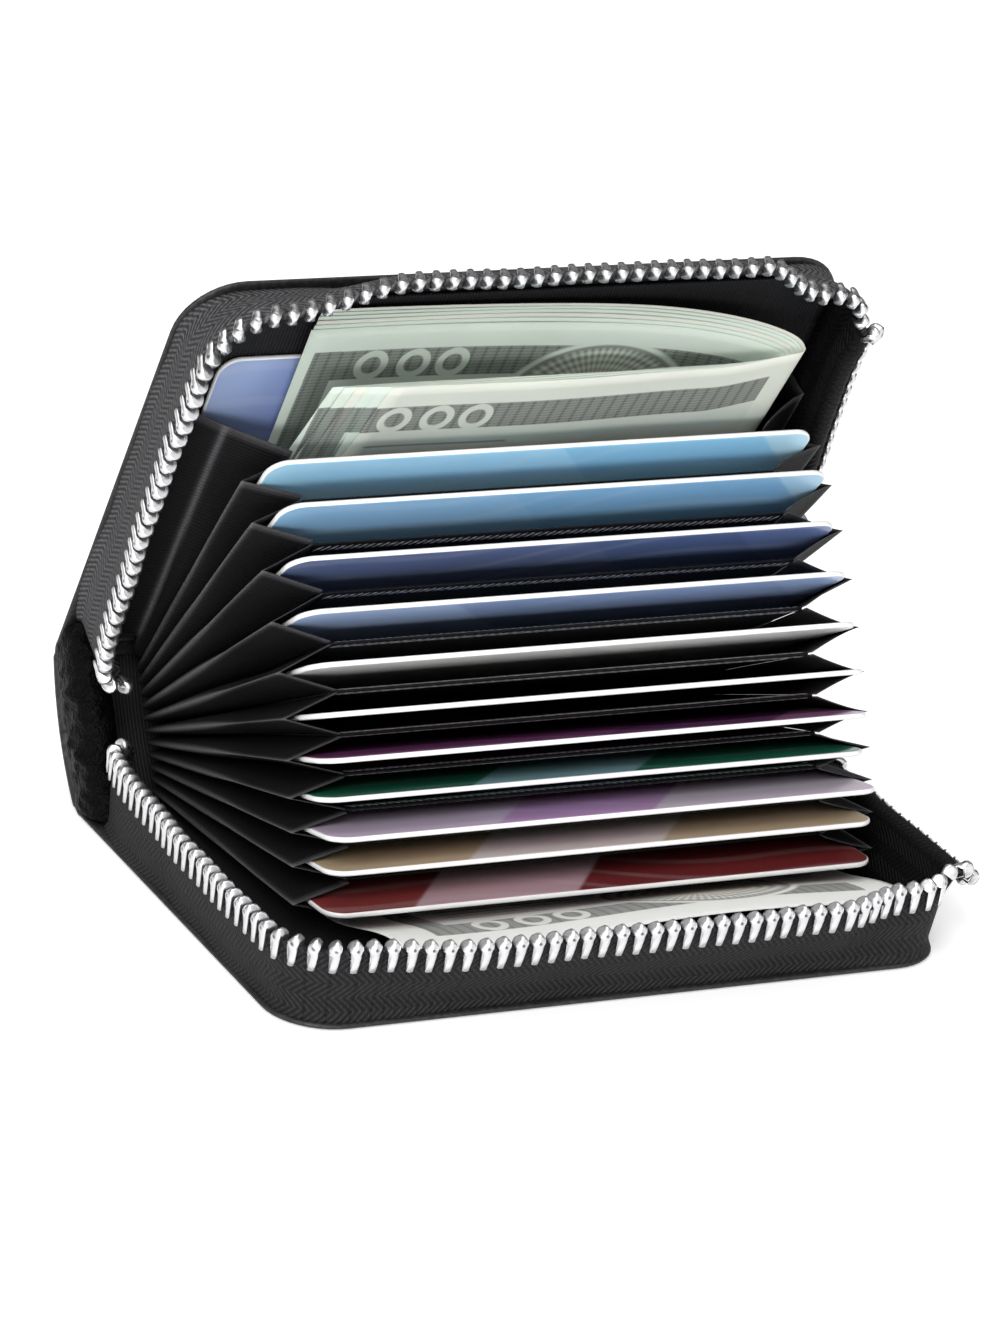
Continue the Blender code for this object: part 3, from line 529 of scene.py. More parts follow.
def spine_half(side):
    """The profile swept along X. A point at height z has turned by half the opening times smooth_step(z)."""
    line = resampled(SPINE_PROFILE, 34)
    inward = sideways(line)
    x = np.linspace(-1, 1, 61) * (COVER_WIDTH / 2 - SPINE_END_INSET)
    edge = np.clip((COVER_WIDTH / 2 - np.abs(x)) / SPINE_EDGE_RUN, 0, 1)
    faces = []
    for depth in (0, SPINE_SKIN_THICKNESS):
        shape = line + inward * depth
        y = shape[None, :, 0] - SPINE_EDGE_TUCK * (1 - edge[:, None]) * (1 if depth == 0 else -1)
        z = shape[None, :, 1] + 0 * y
        turn = smooth_step((z / MM - SPINE_TURN[0]) / (SPINE_TURN[1] - SPINE_TURN[0]))
        grid = np.stack([x[:, None] + 0 * y, y, z], axis=-1)
        if side == "lower":
            grid = half_opened(grid, side, turn)
            grid[..., 2] = np.maximum(grid[..., 2], FLOOR_GAP)
        else:
            grid = half_opened(grid * (1, 1, -1) + (0, 0, CLOSED_THICKNESS), side, turn)
        faces.append(grid)
    return slab(f"spine_skin_{side}", *faces)


def spine_end(name, line):
    """A gusset of leather bent round the spine's end: the plan line swept up the spine, its fold crumpled.

    Half height = (middle - low) + spread r tan(half opening) at reach r in front of the fold. Crumple is a sum of
    sines, shallower inwards, where the end stop is.
    """
    line = resampled(line, 48)
    normal = sideways(line) * np.sign(line[0, 0])
    u, v = np.meshgrid(np.linspace(-1, 1, 48), np.linspace(-1, 1, 90), indexing="ij")
    reach = np.clip(-line[:, 1], 0, None)[:, None]
    z = MIDDLE + v * (MIDDLE - GUSSET_LOW + GUSSET_SPREAD * reach * math.tan(HALF_OPENING))
    crumple = 0.5 * np.sin(9 * v + 2.2 * np.sin(3.1 * u)) + 0.45 * np.sin(17 * v - 6 * u + np.sin(5 * u + 2 * v))
    crumple += 0.3 * np.sin(5 * u + 23 * v * np.abs(v)) + 0.25 * np.sin(29 * v + 11 * u + 2)
    lift = GUSSET_SWELL * np.where(crumple < 0, INWARD_CRUMPLE * crumple, crumple) * (1 - v**8) * (1 - u**6)
    faces = []
    for depth in (0, GUSSET_THICKNESS):
        flat = line[:, None, :] + normal[:, None, :] * (lift - depth)[..., None]
        faces.append(with_spine(np.concatenate([flat, z[..., None]], axis=-1)))
    return slab(name, *faces)


def flattens(made, line):
    """The piece gets its own copy of its mesh. The line of two points is not used."""
    anchor, tip = line
    tuple(tip - anchor)
    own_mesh(made)


def crumpled_finish():
    """Black leather crushed into small lumps, its colour painted several times darker than the covers' leather as
    painted shade.
    """
    crushed = Finish("crumpled_leather_painted_shade", Specular_IOR_Level=0.04)
    lumps = crushed.noise(620, 3, 0.7)
    fine = crushed.noise(1900, 2)
    return crushed.set(
        Base_Color=crushed.mix(lumps, (0.001, 0.001, 0.001), (0.003, 0.003, 0.0032)),
        Roughness=0.26 + fine * 0.3,
        Normal=crushed.bump(lumps + fine * 0.35, 0.0011, 0.9),
    )


dress(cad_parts["spine_lining"], lining)
# the two bodies of each bend, its two ends as (0, y, height) in the shut wallet in millimetres, and their turn
SPINE_BENDS = {
    "lower": (("lower_cover", "spine"), ((0, 0.9, 0.2), (0, 3.1, 2.8)), (0, 1)),
    "upper": (("spine", "upper_cover"), ((0, 3.1, 23.6), (0, 0.9, 26.2)), (1, 0)),
}
for side, (bodies, ends, turn) in SPINE_BENDS.items():
    half = add(spine_half(side), leather, "black_leather", None, "spine_leather")
    start, end = half_opened(np.array(ends) * MM, side, np.array(turn))
    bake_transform(half)
crumpled = crumpled_finish()
for word, line in SPINE_END_LINES.items():
    end = add(spine_end(f"spine_end_{word}", line), crumpled, "black_leather", "spine", f"spine_tab_{word}")
    flattens(end, with_spine(np.array([[0, 0, MIDDLE], [0, 0, MIDDLE + 0.01]])))


# Zip tapes.
# Two black herringbone tapes are sewn in between leather and lining and stand up round three sides.
# They lean outwards as the wallet opens, most of all at the upper front, and curl in at the left end.

LINING_TOP = 0.00215
TAPE_INSET = 0.0012
TAPE_HALF = 0.00026
TAPE_FOOT = 0.0006
TAPE_TOP = 0.01195
TAPE_FLARE_END = math.radians(2.0)
# lean outwards along the left side, round the left corner, along the front, round the right corner, along the right
FLARES = {"lower": np.radians((13.0, 13.0, 31.0, 7.0, 10.0)), "upper": np.radians((10.0, 38.0, 55.0, 32.0, -13.0))}
# lean that is left in the shut wallet, and less of it at the right corner
SHUT_LEAN = math.radians(9.0)
SHUT_CORNER_LEAN = math.radians(4.0)
# a stretch that keeps more than this stays as it is; a seam comes after so much slope times share, or so much turn
KEEPS_ALL = 0.97
FOLD_STEP = 0.022
FOLD_TURN = 0.4
AFTER_CURL = 0.01
# the leaning wall bows back upright past this height
BOW_START = 0.006
BOW_LENGTH = 0.0076
# how far each change of the lean takes, and where the walls end
LEFT_FLARE_RUN = 0.03
FRONT_FLARE_LEFT_RUN = 0.018
FRONT_FLARE_RIGHT_RUN = 0.013
RIGHT_FLARE_START = {"lower": 0.012, "upper": 0.03}
RIGHT_FLARE_RUN = 0.025
LEFT_TAPE_END = 0.004
LEFT_TUCK = 0.001
TUCK_RUN = 0.009
RIGHT_TAPE_END = 0.0062
CURL = ((-45.6, -3.5), (-46.8, -3.55), (-47.9, -3.9), (-48.7, -4.6), (-49.15, -5.6))
CURL_END = -0.0066
CURL_RISE = 0.0021
WALL_STEP = 0.0005
# depth, length of one radian and start of the small waves in the wall
WAVES = ((0.00014, 0.0061, 0), (0.0001, 0.0026, 1))
# the sewn foot of the tape stands in under the lining, and its top edge is a thicker bead
SPLAY = 0.0008
SPLAY_HEIGHT = 0.0022
BEAD_HEIGHT = 0.0008
BEAD_SHARE = 2.1
# along the right side the tape's edge rolls over outwards, so that the teeth hang outside it
ROLL_PAST_CORNER = 0.46
ROLL_START = 0.0109
ROLL_RADIUS = 0.0010
ROLL_FULL = math.radians(140.0)
ROLL_SLACK = 0.0019
ROLL_LIFT = 0.0012
ROLL_RUN = 0.005
ROLL_END = 0.014
ROLL_END_RUN = 0.0128


def wall_path():
    """The zip's line on the lower cover from its curled left end round the mouth to its right end, at even steps."""
    half = COVER_WIDTH / 2 - TAPE_INSET
    front = TAPE_INSET - COVER_DEPTH
    radius = COVER_CORNER - TAPE_INSET
    quarter = np.linspace(0, math.pi / 2, 24)
    y = np.arange(CURL_END, front + radius, -WALL_STEP)
    left = np.stack([-half + LEFT_TUCK * smooth_step((y + LEFT_TAPE_END + TUCK_RUN) / TUCK_RUN), y], axis=1)
    near = np.stack([radius - half - radius * np.cos(quarter), front + radius - radius * np.sin(quarter)], axis=1)
    far = near[::-1] * (-1, 1)
    y = np.arange(front + radius, -RIGHT_TAPE_END, WALL_STEP)
    right = np.stack([np.full(len(y), half), y], axis=1)
    path = np.concatenate([np.array(CURL) * MM, left, near, far, right])
    steps = np.linalg.norm(np.diff(path, axis=0), axis=1)
    path = path[np.append(True, steps > 1e-5)]
    lengths = path_lengths(path)
    at = np.linspace(0, lengths[-1], int(lengths[-1] / WALL_STEP))
    return softened(read_at(at, lengths, path), 3), at


WALL_PATH, WALL_AT = wall_path()
CURL_LENGTH = float(WALL_AT[np.argmax(WALL_PATH[:, 1] < CURL_END)])
STRAIGHT = COVER_WIDTH / 2 - COVER_CORNER
FRONT_START, FRONT_END = (float(WALL_AT[np.argmax(WALL_PATH[:, 0] > edge)]) for edge in (-STRAIGHT, STRAIGHT))
CORNER_ARC = math.pi / 2 * (COVER_CORNER - TAPE_INSET)


def wall_frame(at, side):
    """Place, direction ahead, direction outward, slope of the lean and roll, at distances along the zip's line.

    The lean goes from the side's to the corner's and the front's by the squares of the outward direction. The place
    waves in and out by depth sin(at / length + start).
    """
    place = read_at(at, WALL_AT, WALL_PATH)
    ahead = unit(read_at(at, WALL_AT, np.gradient(WALL_PATH, WALL_AT, axis=0)))
    outward = np.stack([ahead[:, 1], -ahead[:, 0]], axis=1)
    left, left_corner, front, right_corner, right = FLARES[side]
    corner = np.where(place[:, 0] < 0, left_corner, right_corner)
    front_share = smooth_step((place[:, 0] + STRAIGHT) / FRONT_FLARE_LEFT_RUN)
    front_share *= smooth_step((STRAIGHT - place[:, 0]) / FRONT_FLARE_RIGHT_RUN)
    lean = left * np.clip(-outward[:, 0], 0, 1) ** 2 + right * np.clip(outward[:, 0], 0, 1) ** 2
    lean += (corner + (front - corner) * front_share) * np.clip(-outward[:, 1], 0, 1) ** 2
    from_ends = smooth_step((at - CURL_LENGTH) / LEFT_FLARE_RUN)
    from_ends *= smooth_step((WALL_AT[-1] - at - RIGHT_FLARE_START[side]) / RIGHT_FLARE_RUN)
    lean = TAPE_FLARE_END + (lean - TAPE_FLARE_END) * from_ends
    wave = sum(depth * np.sin(at / length + start) for depth, length, start in WAVES)
    roll = ROLL_FULL * smooth_step((at - FRONT_END - CORNER_ARC * ROLL_PAST_CORNER) / ROLL_RUN)
    roll *= smooth_step((WALL_AT[-1] - at - ROLL_END) / ROLL_END_RUN)
    return place + outward * wave[:, None], ahead, outward, np.tan(lean), roll


def bowed(height):
    """How far up the lean carries the wall: z, less (z - s)^2 / l above the height s, so that the edge is upright."""
    return height - np.clip(height - BOW_START, 0, None) ** 2 / BOW_LENGTH


def rolled_edge(arc, roll):
    """Outward and up past the straight part: round an arc of radius r by at most the roll angle, then straight on."""
    bend = np.minimum(arc / ROLL_RADIUS, roll)
    rest = arc - ROLL_RADIUS * bend
    out = ROLL_RADIUS * (1 - np.cos(bend)) + rest * np.sin(bend)
    up = ROLL_RADIUS * np.sin(bend) + rest * np.cos(bend)
    return out, up, bend


def roll_start(roll):
    """The height at which the edge begins to roll, more with the roll so that it meets the other cover's edge."""
    return ROLL_START + ROLL_LIFT / ROLL_FULL * roll


def rolled_length(roll):
    """How much tape stands past the straight part."""
    return TAPE_TOP - ROLL_START + (ROLL_RADIUS + ROLL_SLACK / ROLL_FULL) * roll


def zip_tape(name, side, start, end):
    """Across the wall by t, up by z: p = path + outward (t + slope bowed(z - lining)) and the roll of the edge."""
    at = np.linspace(start, end, int((end - start) / WALL_STEP) + 2)
    path, _, outward, slope, roll = wall_frame(at, side)
    curled = smooth_step((CURL_LENGTH - at) / CURL_LENGTH)[:, None]
    foot = TAPE_FOOT + curled * CURL_RISE
    begin = roll_start(roll)[:, None]
    low = foot + np.linspace(0, 1, 15)[None, :] * (begin - foot)
    length = rolled_length(roll)[:, None]
    arc = np.concatenate([0 * low, np.linspace(0, 1, 14)[None, 1:] * length], axis=1)
    out, up, bend = rolled_edge(arc, roll[:, None])
    z = np.concatenate([low, np.repeat(begin, 13, axis=1)], axis=1) + up
    splay = SPLAY * (1 - smooth_step((z - TAPE_FOOT) / SPLAY_HEIGHT)) * (1 - curled)
    faces = []
    for sign in (1, -1):
        half = sign * TAPE_HALF * np.where(length - arc < BEAD_HEIGHT, BEAD_SHARE, 1.0)
        across = out + half * np.cos(bend) + splay + slope[:, None] * bowed(z - LINING_TOP)
        flat = path[:, None, :] + outward[:, None, :] * across[..., None]
        faces.append(SIDES[side](np.concatenate([flat, (z - half * np.sin(bend))[..., None]], axis=-1)))
    pattern = np.stack([at[:, None] / MM + 0 * z, (z - up + arc) / MM], axis=-1)
    # painted shade: the inner face along the right side is painted black
    backing = smooth_step(outward[:, 0] * 2.0)[:, None] + 0 * z
    return slab(name, *faces, pattern, {"backing": [0 * z, backing]})


def tape_finish(name, dark, light):
    """Herringbone: slanting cords in knots, whose slope changes sign from one 2.3 mm band to the next, up the tape.
    Their colour runs from dark to light with the cords' height: a painted highlight on the cords' tops.

    Mark 'backing' is 1 on the inner face along the right side, where the tape is painted plain black as painted shade.
    """
    tape = Finish(name, Specular_IOR_Level=0.2)
    along, up = tape.pattern("X"), tape.pattern("Y")
    lint = tape.noise(1500, 3)
    zigzag = abs((up * (1 / 4.6)).part() - 0.5) * 4.6
    cords = ((along + zigzag) * (2 * math.pi / 1.0) + lint * 1.6).sin() * 0.5 + 0.5
    knots = ((along - zigzag * 0.6) * (2 * math.pi / 1.1) + lint * 2.0).sin() * 0.5 + 0.5
    height = cords * (0.55 + knots * 0.45) + lint * 0.3
    colour = tape.mix(height, dark, light)
    colour = tape.mix(tape.mark("backing"), colour, (0.001, 0.001, 0.001))
    return tape.set(Base_Color=colour, Roughness=0.66 + lint * 0.15, Normal=tape.bump(height, 0.00028, 0.9))


def kept(at, side):
    """The share of its lean that the wall keeps in the shut wallet: tan(lean that is left) / slope, at most 1."""
    slope = np.abs(wall_frame(at, side)[3])
    corner = (FRONT_END - FRONT_FLARE_RIGHT_RUN, FRONT_END, FRONT_END + CORNER_ARC)
    left = np.tan(np.interp(at, corner, (SHUT_LEAN, SHUT_CORNER_LEAN, SHUT_LEAN)))
    return np.where(slope > left, left / np.maximum(slope, 1e-3), 1.0)


def runs(side):
    """Stretches of the wall, each made as a piece of its own, shorter where the lean kept in the shut wallet changes
    faster.

    In each straight or corner a seam comes after each equal amount of slope times change of share, plus turn.
    """
    _, ahead, _, slope, _ = wall_frame(WALL_AT, side)
    turn = np.abs(np.diff(np.unwrap(np.arctan2(ahead[:, 1], ahead[:, 0])))) / FOLD_TURN
    turn[WALL_AT[1:] < CURL_LENGTH + AFTER_CURL] = 0
    amount = np.append(0, np.cumsum(np.abs(slope[1:] * np.diff(kept(WALL_AT, side))) / FOLD_STEP + turn))
    ends = (0, FRONT_START - CORNER_ARC, FRONT_START, FRONT_END, FRONT_END + CORNER_ARC, float(WALL_AT[-1]))
    edges = [0.0]
    for first, last in zip(ends, ends[1:]):
        span = np.interp((first, last), WALL_AT, amount)
        shares = np.linspace(*span, max(1, math.ceil(span[1] - span[0])) + 1)[1:-1]
        edges += [*np.interp(shares, amount, WALL_AT), last]
    return list(zip(edges, edges[1:]))


def folds_in(made, side, start, end):
    """A stretch that keeps no more of its lean than KEEPS_ALL hands its foot line to flattens, which gives it its own
    copy of its mesh.
    """
    middle = np.array([(start + end) / 2])
    path, _, outward, _, _ = wall_frame(middle, side)
    keep = float(kept(middle, side)[0])
    if keep <= KEEPS_ALL:
        foot = np.array([*path[0], 0])
        flattens(made, SIDES[side](np.stack([foot, foot + (*(outward[0] * 0.01), 0)])))


RUNS = {side: runs(side) for side in FLARES}
# the two tapes are one black cloth: the upper one's colours are painted about five times lighter than the lower one's,
# as painted light
tapes = {
    "lower": tape_finish("zip_tape_weave", (0.002, 0.002, 0.0023), (0.026, 0.026, 0.028)),
    "upper": tape_finish("zip_tape_weave_upper_painted_lighter", (0.010, 0.010, 0.011), (0.122, 0.122, 0.127)),
}
for side in SIDES:
    for number, run in enumerate(RUNS[side]):
        made = zip_tape(f"{side}_tape_{number:02d}", side, *run)
        add(made, tapes[side], "zip_tape_weave", f"{side}_cover", f"{side}_zip_tape")
        folds_in(made, side, *run)


# Zip teeth.
# Each tooth is a strip of bright nickel silver clamped over the tape's beaded edge: a leg on either side and
# a hooked head that meshes with the other row. The two rows are half a pitch out of step.

TOOTH_PITCH = 0.00256
TOOTH_START = 0.00096
RIGHT_TEETH_END = 0.0136
# outward and height of a tooth's outline in millimetres: up the outer leg, over the head, down the inner leg, and back
TOOTH_OUTLINE = ((0.56, 9.15), (0.98, 9.1), (1.06, 10.2), (1.08, 11.35), (1.14, 11.9), (1.16, 12.45), (1.0, 13.0),
                 (0.6, 13.42), (0.0, 13.55), (-0.6, 13.42), (-0.98, 13.0), (-1.12, 12.45), (-1.06, 11.9), (-1.0, 11.35),
                 (-0.92, 10.8), (-0.56, 10.8), (-0.45, 11.9), (0.45, 11.9))
# share of the half width and how far the outline is drawn in there, with more of it at the round side of the head
TOOTH_RINGS = ((-1.0, 0.2, 0.3), (-0.72, 0.04, 0.05), (0.0, -0.02, 0.0), (0.75, 0.03, 0.0), (1.0, 0.18, 0.04))
TOOTH_HALF = 0.5
TOOTH_GRIP = 0.0018
TOOTH_LEG_TOP = 11.35
TOOTH_NECK = 11.3
TOOTH_HEAD_FOOT = 11.5
TOOTH_HOOK_FOOT = 11.2
TOOTH_HOOK_RUN = 0.8
TOOTH_HEAD = 12.45
TOOTH_HEAD_RADIUS = 1.15
TOOTH_HOOK = -0.42
# how far along the pitch a row begins, the slant of its teeth, the share of the outer leg that shows, half a head
TOOTH_ROWS = {"lower": (0.0, 0.17, 1.0, 0.88), "upper": (0.5, -0.17, 0.6, 0.84)}


def tooth_shape(lean, leg, head):
    """The outline pushed out to both sides: a straight leg under a round head that bulges to one side of it.

    Half width = max(leg's, head sqrt(1 - ((h - middle) / radius)^2)), and it slants along the pitch by lean. leg is
    the share of the outer leg that shows. Mark 'dimple_shade' is 1 at the middle of the head, where the dimple's hollow
    is painted as shade.
    """
    outline = np.array(TOOTH_OUTLINE)
    outer_leg = (outline[:, 0] > 0.5) & (outline[:, 1] < TOOTH_NECK)
    outline[outer_leg, 1] = TOOTH_LEG_TOP - (TOOTH_LEG_TOP - outline[outer_leg, 1]) * leg
    tangent = np.roll(outline, -1, axis=0) - np.roll(outline, 1, axis=0)
    normal = unit(np.stack([tangent[:, 1], -tangent[:, 0]], axis=1))
    height = outline[:, 1]
    disc = np.sqrt(np.clip(1 - ((height - TOOTH_HEAD) / TOOTH_HEAD_RADIUS) ** 2, 0.03, 1))
    half = np.where(height < TOOTH_HEAD, np.maximum(head * disc, TOOTH_HALF), head * disc)
    shift = TOOTH_HOOK * smooth_step((height - TOOTH_HOOK_FOOT) / TOOTH_HOOK_RUN) + lean * (height - TOOTH_NECK)
    rings, dimple_shade = [], []
    for share, drawn, more in TOOTH_RINGS:
        shape = outline - normal * (drawn + more * disc * (height > TOOTH_HEAD_FOOT))[:, None]
        rings.append(np.column_stack([share * half + shift, shape[:, 0], shape[:, 1] - LINING_TOP / MM]))
        dimple_shade.append(np.where((share == 0) & (height == TOOTH_HEAD), 1.0, 0.0))
    return (np.concatenate(rings) * MM, *ring_faces(len(rings), len(outline))), np.concatenate(dimple_shade)


def tooth_places(side, phase):
    """Where the teeth stand along the zip's line, at an even pitch along the leaning edge instead of along its foot.

    The edge is longer round the corners. Each half of the line gets whole extra teeth, so both rows stay in step.
    """
    path, _, outward, slope, roll = wall_frame(WALL_AT, side)
    out, up, _ = rolled_edge(rolled_length(roll), roll)
    edge = path + outward * (slope * bowed(roll_start(roll) + up - LINING_TOP) + out)[:, None]
    extra = path_lengths(edge) - WALL_AT
    middle = len(WALL_AT) // 2
    extra -= extra[middle]
    for part in (slice(0, middle), slice(middle, None)):
        total = max(abs(float(extra[part][0])), abs(float(extra[part][-1])))
        extra[part] *= round(total / TOOTH_PITCH) * TOOTH_PITCH / total
    along = np.maximum.accumulate(WALL_AT + extra)
    steps = np.arange(-200, 200) * TOOTH_PITCH + CURL_LENGTH + TOOTH_START + phase * TOOTH_PITCH
    steps = steps[(steps > along[0] + 0.0005) & (steps < along[-1])]
    at = np.interp(steps, along, WALL_AT)
    return at[at < WALL_AT[-1] - (RIGHT_TEETH_END - RIGHT_TAPE_END)]


def zip_row(name, side, at, lean, leg, head):
    """Each tooth stands at the tape's edge along the direction that the wall's lean and roll have there."""
    path, ahead, outward, slope, roll = wall_frame(at, side)
    out, up, _ = rolled_edge(rolled_length(roll), roll)
    edge = roll_start(roll) + up - LINING_TOP
    tip = slope * (bowed(edge) - bowed(edge - TOOTH_GRIP)) / TOOTH_GRIP
    tops = np.column_stack([path + outward * (slope * bowed(edge) + out)[:, None], edge + LINING_TOP])
    sine, cosine = np.sin(roll), np.cos(roll)
    above = np.column_stack([outward * (sine + tip * cosine)[:, None], cosine - tip * sine])
    aside = np.column_stack([outward * cosine[:, None], -sine])
    origins = tops - above * (TAPE_TOP - LINING_TOP)
    shape, dimple_shade = tooth_shape(lean, leg, head)
    points, quads, caps = repeated(shape, origins, np.column_stack([ahead, 0 * at]), aside, above)
    return piece(name, SIDES[side](points), quads, caps, marks={"dimple_shade": np.tile(dimple_shade, len(at))})


def metal_finish(name, colour, rough):
    """Bright plated metal with fine wear in its gloss. Mark 'dimple_shade' paints a tooth's head darker grey at its
    dimple: painted shade in the hollow.
    """
    metal = Finish(name, Metallic=1.0)
    wear = metal.noise(900, 3)
    dull = tuple(0.75 * c for c in colour)
    bright = metal.mix(wear, colour, dull)
    return metal.set(
        Base_Color=metal.mix(metal.mark("dimple_shade").over(0.55, 0.3), bright, (0.13, 0.13, 0.14)),
        Roughness=rough + wear * 0.12,
        Normal=metal.bump(metal.noise(4200, 2), 0.00002, 0.4),
    )


zip_metal = metal_finish("zip_metal", (0.80, 0.80, 0.81), 0.27)
for side, (phase, *shape) in TOOTH_ROWS.items():
    places = tooth_places(side, phase)
    for number, (start, end) in enumerate(RUNS[side]):
        at = places[(places >= start) & (places < end)]
        if len(at):
            made = zip_row(f"{side}_teeth_{number:02d}", side, at, *shape)
            add(made, zip_metal, "zip_metal", f"{side}_cover", f"{side}_zip_teeth")
            folds_in(made, side, start, end)
dress(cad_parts["zip_end_stop"], zip_metal)


# Slider and pull.
# A cast slider with its arch and a flat pull tab, both bright, parked at the right end of the zip.
# The frame's solids have their true shapes, so they keep them and get the metal.

slider_metal = metal_finish("slider_metal", (0.80, 0.80, 0.82), 0.2)
dress(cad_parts["zip_slider"], slider_metal)
dress(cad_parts["zip_pull"], slider_metal)


# Dividers.
# Twelve leaves of thin ribbed cloth, folded over and sewn along the mouth in a hem of slanting grey thread.
# Each stands on its own fold line of the spine.

ACCORDION_SHIFT = 0.0036
LEAF_WIDTH = 0.074
LEAF_DEPTH = 0.0515
LEAF_BACK = 0.0013
LEAF_THICKNESS = 0.00025
HEM_DEPTH = 0.0025
HEM_THICKNESS = 0.00046
HEM_ROUND = 0.14
FIRST_LEAF_HEIGHT = 0.0031
LEAF_PITCH = 0.0016
POCKETS = 11
POCKET_ANGLES = np.radians((53.3, 48.1, 42.2, 36.0, 30.1, 24.9, 20.4, 16.5, 13.1, 9.7, 5.6))
LEAF_ANGLES = np.radians((56.0, *np.degrees(POCKET_ANGLES[:-1] + POCKET_ANGLES[1:]) / 2, 3.6))
LEAF_HEIGHTS = FIRST_LEAF_HEIGHT + LEAF_PITCH * np.arange(POCKETS, -1, -1)
POCKET_HEIGHTS = (LEAF_HEIGHTS[:-1] + LEAF_HEIGHTS[1:]) / 2
# thread beads along the hem, and the direction in which each lies
HEM_STITCH_PITCH = 0.00112
HEM_STITCH_FIRST = 0.0012
HEM_STITCH_LAST = 0.0008
HEM_STITCH_INSET = 0.0011
HEM_STITCH_LENGTH = 0.0019
HEM_STITCH_RADIUS = 0.00016
HEM_STITCH_ALONG = (0.62, -0.785, 0.0)


def with_leaf(points, height, angle):
    """Points of a leaf laid out flat, turned to stand at this angle on the fold at this height of the spine."""
    return with_spine(turned(points, height, angle - HALF_OPENING))


def divider(number):
    """A leaf's cut swept along X: flat, then a hem that swells by smooth_step and ends in a quarter ellipse."""
    height = LEAF_HEIGHTS[number - 1]
    hem = LEAF_DEPTH - HEM_DEPTH * (1 - np.linspace(0.04, 1, 12))
    reach = np.concatenate([np.linspace(LEAF_BACK, LEAF_DEPTH - HEM_DEPTH, 20), hem])
    into = np.clip((reach - LEAF_DEPTH + HEM_DEPTH) / HEM_DEPTH, 0, 1)
    half = LEAF_THICKNESS / 2 + (HEM_THICKNESS - LEAF_THICKNESS) / 2 * smooth_step(into * 5)
    half = half * np.sqrt(np.clip(1 - np.clip((into + HEM_ROUND - 1) / HEM_ROUND, 0, 1) ** 2, 0.05, 1))
    x = ACCORDION_SHIFT + np.linspace(-LEAF_WIDTH / 2, LEAF_WIDTH / 2, 48)
    x, reach = np.meshgrid(x, reach, indexing="ij")
    faces = [np.stack([x, -reach, height + sign * half + 0 * x], axis=-1) for sign in (1, -1)]
    faces = [with_leaf(face, height, LEAF_ANGLES[number - 1]) for face in faces]
    pattern = np.stack([x, reach], axis=-1) / MM
    return slab(f"divider_cloth_{number:02d}", *faces, pattern)


def hem_stitches(number):
    """Slanting thread beads along both faces of the hem, in even steps along X."""
    height = LEAF_HEIGHTS[number - 1]
    x = np.arange(-LEAF_WIDTH / 2 + HEM_STITCH_FIRST, LEAF_WIDTH / 2 - HEM_STITCH_LAST, HEM_STITCH_PITCH)
    z = height + np.repeat((1, -1), len(x)) * HEM_THICKNESS / 2
    origins = np.column_stack([ACCORDION_SHIFT + np.tile(x, 2), np.full(len(z), HEM_STITCH_INSET - LEAF_DEPTH), z])
    bead = stitch_shape(HEM_STITCH_LENGTH, HEM_STITCH_RADIUS, 5, 5)

    def stand(points):
        return with_leaf(points, height, LEAF_ANGLES[number - 1])

    return sewn(f"hem_stitches_{number:02d}", stand, bead, origins, HEM_STITCH_ALONG, (0.0, 0.0, 1.0))


def accordion_finish():
    """Black satin lining cloth: fine cords across each leaf, its folds and cut edges painted grey by mark 'worn' as
    painted highlights.
    """
    cloth = Finish("accordion_fabric", Specular_IOR_Level=0.14)
    along = cloth.pattern("Y")
    ribs = (along * (2 * math.pi / 0.62)).sin() * 0.5 + 0.5
    lint = cloth.noise(2400, 2)
    worn = cloth.mark("worn") * (0.45 + lint * 0.9)
    black = cloth.mix(ribs * 0.55 + lint * 0.3, (0.003, 0.003, 0.0035), (0.011, 0.011, 0.012))
    return cloth.set(
        Base_Color=cloth.mix(worn, black, (0.11, 0.11, 0.115)),
        Roughness=0.58 + lint * 0.2,
        Normal=cloth.bump(ribs + lint * 0.5, 0.00009, 0.7),
    )


cloth = accordion_finish()
hem_thread = thread_finish("hem_thread", (0.34, 0.34, 0.35))
for number in range(1, POCKETS + 2):
    add(divider(number), cloth, "accordion_fabric", f"divider_{number:02d}", f"divider_{number:02d}")
    add(hem_stitches(number), hem_thread, "accordion_fabric", f"divider_{number:02d}")


# Pleats.
# Between two leaves the cloth folds in at both sides and behind the cards, with one sharp crease along each
# side. The first one, under the banknotes, has its upper edge sewn to the zip tape as a wide flange instead.

PLEAT_SEAM_HALF = LEAF_WIDTH / 2 + 0.0003
PLEAT_HALF_BACK = 0.0446
PLEAT_HALF_FRONT = 0.0456
PLEAT_DEPTH = 0.0522
PLEAT_BACK = 0.00045
PLEAT_BACK_SEAM = 0.00105
PLEAT_CORNER = 0.0022
PLEAT_CLOTH = 0.0002
PLEAT_CREASE = 0.0003
PLEAT_MARGIN = 0.00012
PLEAT_KEEP = 0.27
PLEAT_MIDDLE_GAP = 0.0005
PLEAT_OPENS = 0.006
# how the cloth bows out at the back, and its hollow at the mouth on the left and the right
PLEAT_CONVEX = 2.6
PLEAT_HOLLOW = {-1: 1.0, 1: 1.32}
# widths of the painted highlights along the crease, the seams and the mouth, and the run over which they fade in from
# the spine
CREASE_HIGHLIGHT = 0.00042
SEAM_HIGHLIGHT = 0.00035
MOUTH_HIGHLIGHT = 0.00045
HIGHLIGHT_RUN = 0.012
FLANGE_INSET = 0.0029
FLANGE_START = 0.0021
FLANGE_SWING = 0.0042
FLANGE_RUN = 0.003


